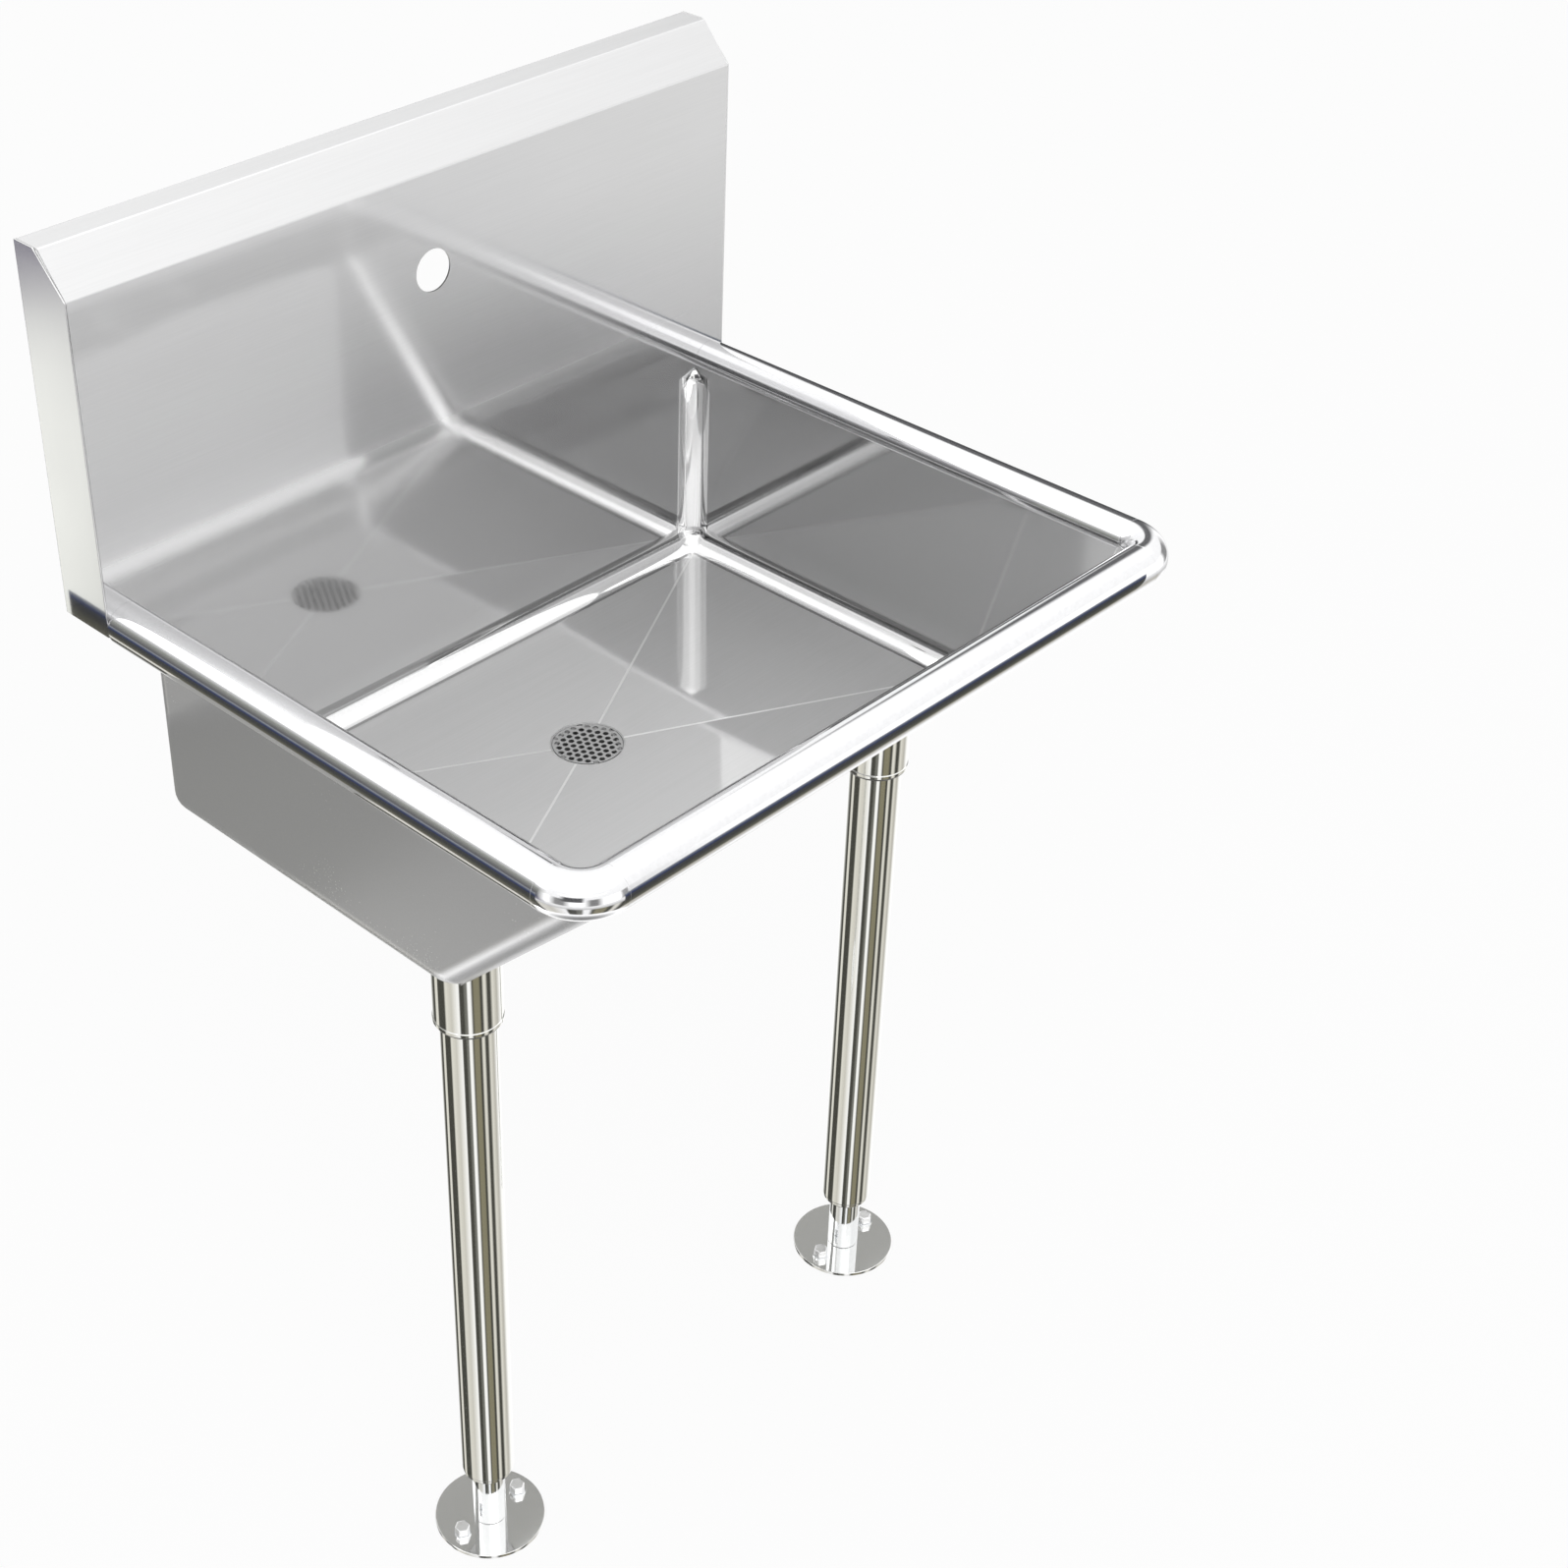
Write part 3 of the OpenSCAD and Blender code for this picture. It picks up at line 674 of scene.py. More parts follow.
@dataclass
class Bowl:
    """The coved bowl with a sloped front, pointed cove ends and a cross-broken floor."""

    half: float = 273.0
    front: float = 427.2
    rim_z: float = 769.1
    back_z: float = 764.0
    floor: float = 607.0
    knee: float = 737.0
    bend_y: float = 297.2
    cove: float = 17.0
    corner: float = 10.2
    stop: float = 762.0
    bend_r: float = 26.0
    fall: float = 3.5
    drain_y: float = 153.0
    drain_r: float = 28.3
    sheet: float = 1.5
    crease: float = 0.9
    crease_dip: float = 0.2
    flat_tilt: float = 2.2

    # One steel in lit and shaded copies: the sheet, and lighter or darker copies that paint light and shade onto the
    # coves, floor, creases and side walls.
    LINING: ClassVar[tuple[Finish, ...]] = (SHEET, OUTSIDE, PAINTED_LIGHT_COVE, PAINTED_LIGHT_FLOOR, PAINTED_LIGHT_CREASE, PAINTED_DARK_COVE, PAINTED_SHADE_SIDE_WALL)
    MIDDLE: ClassVar[Vector] = Vector((0, -180, 700))
    # Tilts in degrees of the floor coves' facets that get the painted dark reflection.
    PAINTED_DARK_TILTS: ClassVar[Rings] = ((3, 9), (62, 89))
    FLATS: ClassVar[tuple[Vector, ...]] = (
        Vector((1, 0, 0)), Vector((-1, 0, 0)), Vector((0, -1, 0)), Vector((0, 0, 1)),
        Vector((0, math.sqrt(0.5), math.sqrt(0.5))))

    @property
    def bend_run(self) -> float:
        """How far the rounding of a 45 degree bend reaches from its corner."""
        return self.bend_r * math.tan(math.radians(22.5))

    def shell(self) -> Piece:
        """Shapes the inside of the tub from a box: knee, slope, bends and open top.

        Returns:
            The open shell, its faces towards the water.
        """
        obj = Bench.block("bowl_tub", spot(-self.half, -self.front, self.floor), spot(self.half, 0, self.rim_z))
        with Bench.editing(obj):
            Bench.cut(spot(0, 0, self.knee), Vector((0, 0, 1)))
            Bench.pick(obj, Part.EDGE, lambda a, b: max(a.y, b.y) < 1 - self.front and max(a.z, b.z) < self.floor + 1)
            Bench.shift(0, self.front - self.bend_y, 0)
            Bench.pick(obj, Part.EDGE, lambda a, b: abs(a.z - self.knee) < 0.1 and abs(b.z - self.knee) < 0.1
                       and max(a.y, b.y) > 1 - self.front)
            bpy.ops.mesh.dissolve_edges(use_verts=True)
            Bench.pick(obj, Part.FACE, lambda at, n: at.z > self.rim_z - 1)
            bpy.ops.mesh.delete(type="ONLY_FACE")
            Bench.pick(obj, Part.EDGE, lambda a, b: max(a.y, b.y) < 1 - self.bend_y and abs(a.x - b.x) > 1
                       and (max(a.z, b.z) < self.floor + 1 or abs(a.z - self.knee) < 1))
            Bench.round_picked(self.bend_run, 6)
        return obj

    def coves(self, obj: Piece) -> None:
        """Rounds the floor's, the slope's and the corners' edges and shapes the coves' pointed ends.

        Args:
            obj: the shell.
        """
        run_out = self.stop - self.cove / math.sqrt(2)
        with Bench.editing(obj):
            Bench.cut(spot(0, 0, run_out), Vector((0, 0, 1)))
            Bench.pick(obj, Part.FACE, lambda at, n: abs(n.x) > 0.9)
            bpy.ops.mesh.region_to_loop()
            Bench.keep(obj, lambda a, b: min(a.z, b.z) < self.rim_z - 0.1
                       and not (min(a.y, b.y) > -0.1 and max(a.z, b.z) > run_out + 0.1))
            Bench.pick(obj, Part.EDGE, lambda a, b: abs(a.x - b.x) > 1 and min(a.y, b.y) > -0.1
                       and max(a.z, b.z) < self.floor + 0.1, True)
            Bench.round_picked(self.cove, 10)
            for side in Side:
                at = spot(side.value * self.half, -self.front, self.rim_z)
                Bench.pick(obj, Part.VERT, lambda a, b: a.z > self.rim_z - 1 and a.y < self.cove + 1 - self.front
                           and a.x * side.value > self.half - self.cove - 1)
                share = self.corner / self.cove
                bpy.ops.transform.resize(value=(share, share, 1), center_override=at)
                self.point(obj, side, run_out)

    def point(self, obj: Piece, side: Side, run_out: float) -> None:
        """Slants the flat end of a back corner's cove up into the corner.

        Args:
            obj: the shell.
            side: the corner's side.
            run_out: height of the cove's flat end.
        """
        shape = bmesh.from_edit_mesh(obj.data)
        for vert in shape.verts:
            at = drawn(vert.co)
            out = self.half - at.x * side.value
            back = -at.y
            if abs(at.z - run_out) < 0.5 and out < self.cove + 0.5 and back < self.cove + 0.5:
                vert.co.z = spot(0, 0, self.stop - (out + back) / math.sqrt(2)).z
        bmesh.update_edit_mesh(obj.data)

    def cross_break(self, obj: Piece) -> None:
        """Pokes the floor down at the drain and rolls a fine crease along each break.

        Args:
            obj: the shell.
        """
        with Bench.editing(obj):
            Bench.pick(obj, Part.FACE, lambda at, n: abs(n.z) > 0.99 and at.z < self.floor + 1 and abs(at.x) < 5)
            bpy.ops.mesh.poke()
            Bench.pick(obj, Part.VERT, lambda a, b: a.z < self.floor + 1 and abs(a.x) < 5 and -a.y > self.cove + 20
                       and -a.y < self.bend_y - 40)
            shape = bmesh.from_edit_mesh(obj.data)
            low = [v for v in shape.verts if v.select][0]
            low.co = spot(0, -self.drain_y, self.floor - self.fall)
            bmesh.update_edit_mesh(obj.data)
            middle = Vector((0, -self.drain_y, self.floor - self.fall))
            Bench.pick(obj, Part.EDGE, lambda a, b: min((a - middle).length, (b - middle).length) < 0.5)
            Bench.round_picked(self.crease, 2)
            Bench.pick(obj, Part.VERT, lambda a, b: self.on_crease(a))
            Bench.shift(0, 0, -self.crease_dip)

    def on_crease(self, at: Vector) -> bool:
        """Says whether a point lies in the middle of one of the floor's creases.

        Args:
            at: the drawing point.

        Returns:
            True on a crease.
        """
        if at.z > self.floor + 0.05:
            return False
        for x in (-1, 1):
            for y in (-self.cove, -self.bend_y + self.bend_run):
                end = Vector((x * (self.half - self.cove), y, 0))
                start = Vector((0, -self.drain_y, 0))
                run = (end - start).normalized()
                off = Vector((at.x, at.y, 0)) - start
                if off.dot(run) > 0 and (off - run * off.dot(run)).length < 0.2:
                    return True
        return False

    @classmethod
    def in_shade(cls, normal: Vector) -> bool:
        """Says whether a floor cove's facet is one of those along its edges, which get a painted dark reflection of the
        bowl.

        Args:
            normal: the facet's normal.

        Returns:
            True for a facet along an edge.
        """
        tilt = math.degrees(normal.angle(Vector((0, 0, 1))))
        straight = min(abs(normal.x), abs(normal.y)) < 0.05 and normal.y < 0.05
        return straight and any(low < tilt < high for low, high in cls.PAINTED_DARK_TILTS)

    def build(self) -> None:
        """Builds the tub, gives it its thickness and opens the drain."""
        obj = self.shell()
        self.coves(obj)
        self.cross_break(obj)
        with Bench.editing(obj):
            Bench.cut(spot(0, 0, self.back_z), Vector((0, 0, 1)))
            Bench.pick(obj, Part.FACE, lambda at, n: abs(n.y) > 0.9 and at.y > -0.1 and at.z > self.back_z)
            bpy.ops.mesh.delete(type="FACE")
            Bench.whole()
            bpy.ops.mesh.normals_make_consistent(inside=True)
        Bench.thicken(obj, self.sheet)
        Bench.drill(obj, Bench.rod("drain_drill", spot(0, -self.drain_y, self.floor), self.drain_r, 40))
        Bench.done(obj, SHEET, "sink", ["bowl"], "sheet_steel", 40.0)
        for finish in self.LINING[1:]:
            obj.data.materials.append(finish.material())
        for face in obj.data.polygons:
            face.material_index = self.LINING.index(self.faced(drawn(face.center), face.normal))

    def faced(self, at: Vector, normal: Vector) -> Finish:
        """Chooses the finish of one of the tub's faces by its place and normal.

        Args:
            at: the face's middle as a drawing point.
            normal: the face's normal.

        Returns:
            The finish.
        """
        if (self.MIDDLE - at).dot(normal) < 0 and at.z < self.rim_z - 1:
            return OUTSIDE
        # Rounded faces: the coves get a painted highlight.
        if max(normal.dot(flat) for flat in self.FLATS) < math.cos(math.radians(self.flat_tilt)):
            # The floor's creases get their painted highlight.
            if at.z < self.floor + 0.01:
                return PAINTED_LIGHT_CREASE
            # The coves' edge facets get the painted dark reflection instead.
            return PAINTED_DARK_COVE if self.in_shade(normal) else PAINTED_LIGHT_COVE
        # The flat floor gets the lighter copy: painted light.
        if normal.z > 0.99:
            return PAINTED_LIGHT_FLOOR
        # The side walls get the darker copy: painted shade.
        return PAINTED_SHADE_SIDE_WALL if abs(normal.x) > 0.99 else SHEET


@dataclass
class Rim:
    """The rolled rim: three straight runs and two turned corners."""

    width: float = 609.6
    front: float = 459.0
    radius: float = 15.9
    height: float = 769.1
    corner: float = 42.0
    sheet: float = 1.5

    def section(self, name: str, x: float, y: float, inward: Vector) -> Piece:
        """Bends the roll's open section at the start of a run.

        Args:
            name: name of the piece.
            x: drawing x of the section's middle.
            y: drawing y of the section's middle.
            inward: direction of the bowl from the roll.

        Returns:
            The section as a line of edges, open below on the bowl's side.
        """
        Bench.clear()
        bpy.ops.mesh.primitive_circle_add(vertices=FACETS, radius=self.radius * MM, fill_type="NOTHING",
                                          location=spot(x, y, self.height))
        turn = (math.pi / 2, 0, math.pi / 2 if abs(inward.y) > 0.5 else 0)
        obj = Bench.place(name, turn=turn)
        with Bench.editing(obj):
            centre = Vector((x, y, self.height))
            Bench.pick(obj, Part.VERT, lambda a, b: (a - centre).dot(inward) > 0.01 and a.z < self.height - 0.01)
            bpy.ops.mesh.delete(type="VERT")
            bpy.ops.mesh.select_mode(type="EDGE")
            Bench.whole()
        return obj

    def finish(self, obj: Piece, nodes: Sequence[str], middle: Callable[[Vector], Vector]) -> None:
        """Turns the roll's faces outwards, gives it its sheet and finishes it.

        Args:
            obj: the roll's surface.
            nodes: the CAD nodes that it replaces.
            middle: gives the roll's centre line nearest to a drawing point.
        """
        with Bench.editing(obj):
            Bench.whole()
            bpy.ops.mesh.normals_make_consistent(inside=False)
            shape = bmesh.from_edit_mesh(obj.data)
            shape.faces.ensure_lookup_table()
            face = shape.faces[0]
            at = drawn(face.calc_center_median())
            if face.normal.dot(at - middle(at)) < 0:
                bpy.ops.mesh.flip_normals()
        Bench.thicken(obj, self.sheet)
        Bench.round_edges(obj, 0.25, 2, 60)
        Bench.done(obj, ROLL, "sink", nodes, "polished_steel")

    def run(self, name: str, node: str, x: float, y: float, inward: Vector, step: Vector) -> None:
        """Draws a straight run out of its section.

        Args:
            name: name of the piece.
            node: the CAD node that it replaces.
            x: drawing x of the start.
            y: drawing y of the start.
            inward: direction of the bowl.
            step: length and direction of the run.
        """
        obj = self.section(name, x, y, inward)
        along = step.normalized()
        start = Vector((x, y, self.height))
        with Bench.editing(obj):
            Bench.pull(*step)
        self.finish(obj, [node], lambda at: start + along * (at - start).dot(along))

    def turn(self, side: Side) -> None:
        """Spins a front corner out of the section at its side run's end.

        Args:
            side: the corner's side.
        """
        sign = side.value
        centre = Vector((sign * (self.width / 2 - self.corner), self.corner - self.front, self.height))
        x = sign * (self.width / 2 - self.radius)
        obj = self.section(f"rim_bend_{side.word}", x, centre.y, Vector((-sign, 0, 0)))
        with Bench.editing(obj):
            Bench.whole()
            bpy.ops.mesh.spin(steps=32, angle=math.pi / 2 * sign, center=spot(*centre), axis=(0, 0, 1))
            Bench.whole()
            bpy.ops.mesh.remove_doubles(threshold=WELD * MM)
        reach = self.corner - self.radius

        def middle(at: Vector) -> Vector:
            """Nearest point of the corner's centre line."""
            flat = Vector((at.x - centre.x, at.y - centre.y, 0)).normalized()
            return centre + flat * reach

        self.finish(obj, [f"rim_corner_{side.word}"], middle)

    def build(self) -> None:
        """Builds the three runs and the two corners."""
        edge = self.width / 2 - self.radius
        for side in Side:
            self.run(f"rim_run_{side.word}", f"rim_{side.word}", side.value * edge, 0, Vector((-side.value, 0, 0)),
                     Vector((0, self.corner - self.front, 0)))
            self.turn(side)
        self.run("rim_run_front", "rim_front", self.corner - self.width / 2, self.radius - self.front,
                 Vector((0, 1, 0)), Vector((self.width - 2 * self.corner, 0, 0)))


@dataclass
class Drain:
    """The drain: cup, coupling nut and tailpiece, with the strainer on its ledge."""

    y: float = -153.0
    top: float = 603.89
    recess: float = 27.0
    recess_deep: float = 1.7
    cup_r: float = 28.3
    ledge: float = 22.75
    ledge_deep: float = 8.33
    thread: float = 22.05
    thread_top: float = 25.0
    thread_end: float = 45.0
    tail: float = 19.05
    tail_length: float = 76.0
    wall: float = 1.0
    play: float = 0.06
    nut_drop: float = 52.5
    nut_height: float = 20.0
    nut_flats: float = 54.1

    def cup(self) -> None:
        """Turns the cup with the recess and the ledge for the strainer."""
        top = self.top
        neck, end = top - self.thread_top, top - self.thread_end
        cup = Bench.turned("drain_body", 0, self.y, [
            (self.recess, top), (self.cup_r, top), (self.cup_r, top - self.thread_top / 2), (self.thread, neck),
            (self.thread, end), (self.tail, end), (self.tail, neck), (self.ledge, top - self.ledge_deep),
            (self.ledge, top - self.recess_deep), (self.recess, top - self.recess_deep), (self.recess, top)])
        Bench.round_edges(cup, 0.3, 2)
        Bench.done(cup, CUP, "sink", ["drain_cup"], "plated")

    def nut(self, low: float) -> None:
        """Cuts the coupling nut from a six-sided bar and bores it in two steps.

        Args:
            low: height of the nut's lower end.
        """
        nut = Bench.rod("drain_nut", spot(0, self.y, low + self.nut_height / 2),
                        self.nut_flats / 2 / math.cos(math.pi / 6), self.nut_height, sides=6)
        Bench.round_edges(nut, 1.2, 2)
        for name, height, radius in (("nut_bore", low + 14, self.thread), ("nut_hole", low, self.tail)):
            Bench.drill(nut, Bench.rod(name, spot(0, self.y, height), radius + self.play, self.nut_height))
        Bench.done(nut, PLATED, "sink", ["tail_nut"], "plated")

    def tailpiece(self, low: float) -> None:
        """Turns the tailpiece with its collar, which stands in the nut.

        Args:
            low: height of the nut's lower end.
        """
        inner, end = self.tail - self.wall, low - self.tail_length
        pipe = Bench.turned("drain_pipe", 0, self.y, [
            (inner, end), (self.tail, end), (self.tail, low - 2), (self.tail - 0.4, low - 1.6),
            (self.tail - 0.4, low + 4), (self.thread - 0.5, low + 4), (self.thread - 0.5, low + 5),
            (inner, low + 5), (inner, end)])
        Bench.round_edges(pipe, 0.25, 2)
        Bench.done(pipe, PLATED, "sink", ["tailpiece"], "plated")

    def build(self) -> None:
        """Builds the turned pieces and dresses the strainer and the washer."""
        self.cup()
        low = self.top - self.nut_drop
        self.nut(low)
        self.tailpiece(low)
        dress("strainer_plate", STRAINER)
        dress("tail_washer", RUBBER)


@dataclass
class Leg:
    """A front leg: socket under the bowl, tube and adjustable foot."""

    COLLAR_EDGE: ClassVar[Rings] = ((-1.2, 0.0), (0.0, 2.2), (0.0, 4.6), (-0.5, 5.2))
    # Heights above the lower end of the drawn-in faces that get the painted shade line.
    COLLAR_PAINTED_SHADE: ClassVar[Rings] = ((0.0, 2.2),)
    PIPE_EDGE: ClassVar[Rings] = ((-1.25, 0.0), (-0.6, 1.3), (-0.6, 3.3), (0.0, 4.6))
    PIPE_PAINTED_SHADE: ClassVar[Rings] = ((0.0, 1.2), (3.4, 4.6))

    side: Side
    x: float = 218.0
    y: float = -256.2
    socket_r: float = 25.4
    tube_r: float = 20.65
    tube_wall: float = 1.6
    socket_top: float = 601.0
    socket_low: float = 529.0
    tube_low: float = 60.0
    tube_top: float = 599.4
    play: float = 0.06
    stem_r: float = 13.35
    flange_r: float = 44.45
    flange_t: float = 3.2
    bolt_reach: float = 30.15
    bolt_hole: float = 3.26
    bolt_flats: float = 11.0
    bolt_head: float = 7.0
    bolt_length: float = 16.0
    washer: float = 1.4
    stem_wall: float = 3.0
    stem_top: float = 120.0
    stem_seat: float = 0.2
    body: str = field(init=False)

    def __post_init__(self) -> None:
        """Names the foot's body."""
        self.body = f"foot_{self.side.word}"

    def ring(self, name: str, outer: float, inner: float, low: float, high: float,
             edge: Rings = ((0.0, 0.0),)) -> Piece:
        """Turns a ring on the leg's axis.

        Args:
            name: name of the piece.
            outer: outer radius.
            inner: inner radius.
            low: lower end's height.
            high: upper end's height.
            edge: radius past the outer one and height above the lower end of each step of the lower edge.

        Returns:
            The ring.
        """
        steps = [(outer + out, low + up) for out, up in edge]
        return Bench.turned(name, self.side.value * self.x, self.y,
                            [(inner, low), *steps, (steps[-1][0], high), (inner, high), (inner, low)])

    def column(self) -> None:
        """Builds the socket and the tube and dresses what is hidden in them."""
        word = self.side.word
        for name, node, outer, inner, low, high, edge, painted_shade_spans in (
                ("leg_collar", "leg_socket", self.socket_r, self.tube_r + self.play, self.socket_low, self.socket_top,
                 self.COLLAR_EDGE, self.COLLAR_PAINTED_SHADE),
                ("leg_pipe", "leg_tube", self.tube_r, self.tube_r - self.tube_wall, self.tube_low, self.tube_top,
                 self.PIPE_EDGE, self.PIPE_PAINTED_SHADE)):
            piece = self.ring(f"{name}_{word}", outer, inner, low, high, edge)
            Bench.round_edges(piece, 0.2, 2)
            Bench.done(piece, TUBE, "sink", [f"{node}_{word}"], "leg_steel", 15.0)
            # The second material paints a dark shade line onto the drawn-in end faces.
            piece.data.materials.append(EDGE.material())
            for start, end in painted_shade_spans:
                self.dull(piece, low + start, low + end)
        dress(f"leg_plate_{word}", MILL)
        dress(f"leg_insert_{word}", MILL)
        dress(f"socket_screw_{word}", PLATED)

    @staticmethod
    def dull(piece: Piece, low: float, high: float) -> None:
        """Paints a shade line: gives the drawn-in faces between two heights the near-black edge material.

        Args:
            piece: the piece, with the painted shade edge as its second material.
            low: lower height.
            high: upper height.
        """
        for face in piece.data.polygons:
            if low < drawn(face.center).z < high:
                face.material_index = 1

    def foot(self) -> None:
        """Builds the stem and the drilled flange, has the bolts built and dresses their washers."""
        word = self.side.word
        x = self.side.value * self.x
        inner, seat = self.stem_r - self.stem_wall, self.flange_t + self.stem_seat
        stem = Bench.turned(f"foot_post_{word}", x, self.y, [
            (inner, 0.3), (inner, seat), (self.stem_r, seat), (self.stem_r, self.stem_top), (inner, self.stem_top),
            (inner, self.stem_top / 2)])
        Bench.round_edges(stem, 0.5, 3)
        Bench.done(stem, PLATED, self.body, [f"foot_stem_{word}"], "plated")
        flange = self.ring(f"foot_plate_{word}", self.flange_r, inner + self.play, 0, self.flange_t)
        for end in (-1, 1):
            at = spot(x + end * self.bolt_reach, self.y, 1)
            Bench.drill(flange, Bench.rod("bolt_drill", at, self.bolt_hole, 20, sides=32))
        Bench.round_edges(flange, 0.5, 3)
        Bench.done(flange, PLATE, self.body, [f"foot_flange_{word}"], "foot_steel")
        self.bolts(x)
        dress(f"foot_washers_{word}", PLATED)

    def bolts(self, x: float) -> None:
        """Builds one bolt and copies it to the flange's other hole.

        Args:
            x: drawing x of the foot's axis.
        """
        word = self.side.word
        middle = self.flange_t + self.washer + self.bolt_head / 2
        first = Bench.rod(f"foot_bolts_made_{word}", spot(x - self.bolt_reach, self.y, middle),
                          self.bolt_flats / 2 / math.cos(math.pi / 6), self.bolt_head, sides=6)
        with Bench.editing(first):
            Bench.pick(first, Part.FACE, lambda at, n: n.z > 0.9)
            bpy.ops.mesh.inset(thickness=1.0 * MM)
            Bench.pick(first, Part.FACE, lambda at, n: n.z < -0.9)
            bpy.ops.mesh.inset(thickness=2.6 * MM)
            Bench.pull(0, 0, -self.bolt_length)
        Bench.round_edges(first, 0.8, 3, 25)
        Bench.hold(first)
        bpy.ops.object.duplicate(linked=False)
        second = bpy.context.object
        second.location = Vector((2 * self.bolt_reach * MM, 0, 0))
        bpy.ops.object.transform_apply(location=True, rotation=True, scale=True)
        first.select_set(True)
        bpy.context.view_layer.objects.active = first
        bpy.ops.object.join()
        Bench.done(first, BOLT, self.body, [f"foot_bolts_{word}"], "plated")

    def build(self) -> None:
        """Builds the leg and its foot."""
        self.column()
        self.foot()


def dress(node: str, finish: Finish) -> None:
    """Gives a CAD node that stays in the picture its finish.

    Args:
        node: the node's name.
        finish: its finish.
    """
    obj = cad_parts[node]
    obj.data.materials.clear()
    obj.data.materials.append(finish.material())
    LOG.info("%s: dressed with %s", node, finish.name)


@dataclass(frozen=True)
class Patch:
    """A soft-edged patch of light or dark in the studio, by compass direction and height in degrees."""

    ways: Edges
    heights: Edges
    colour: Colour


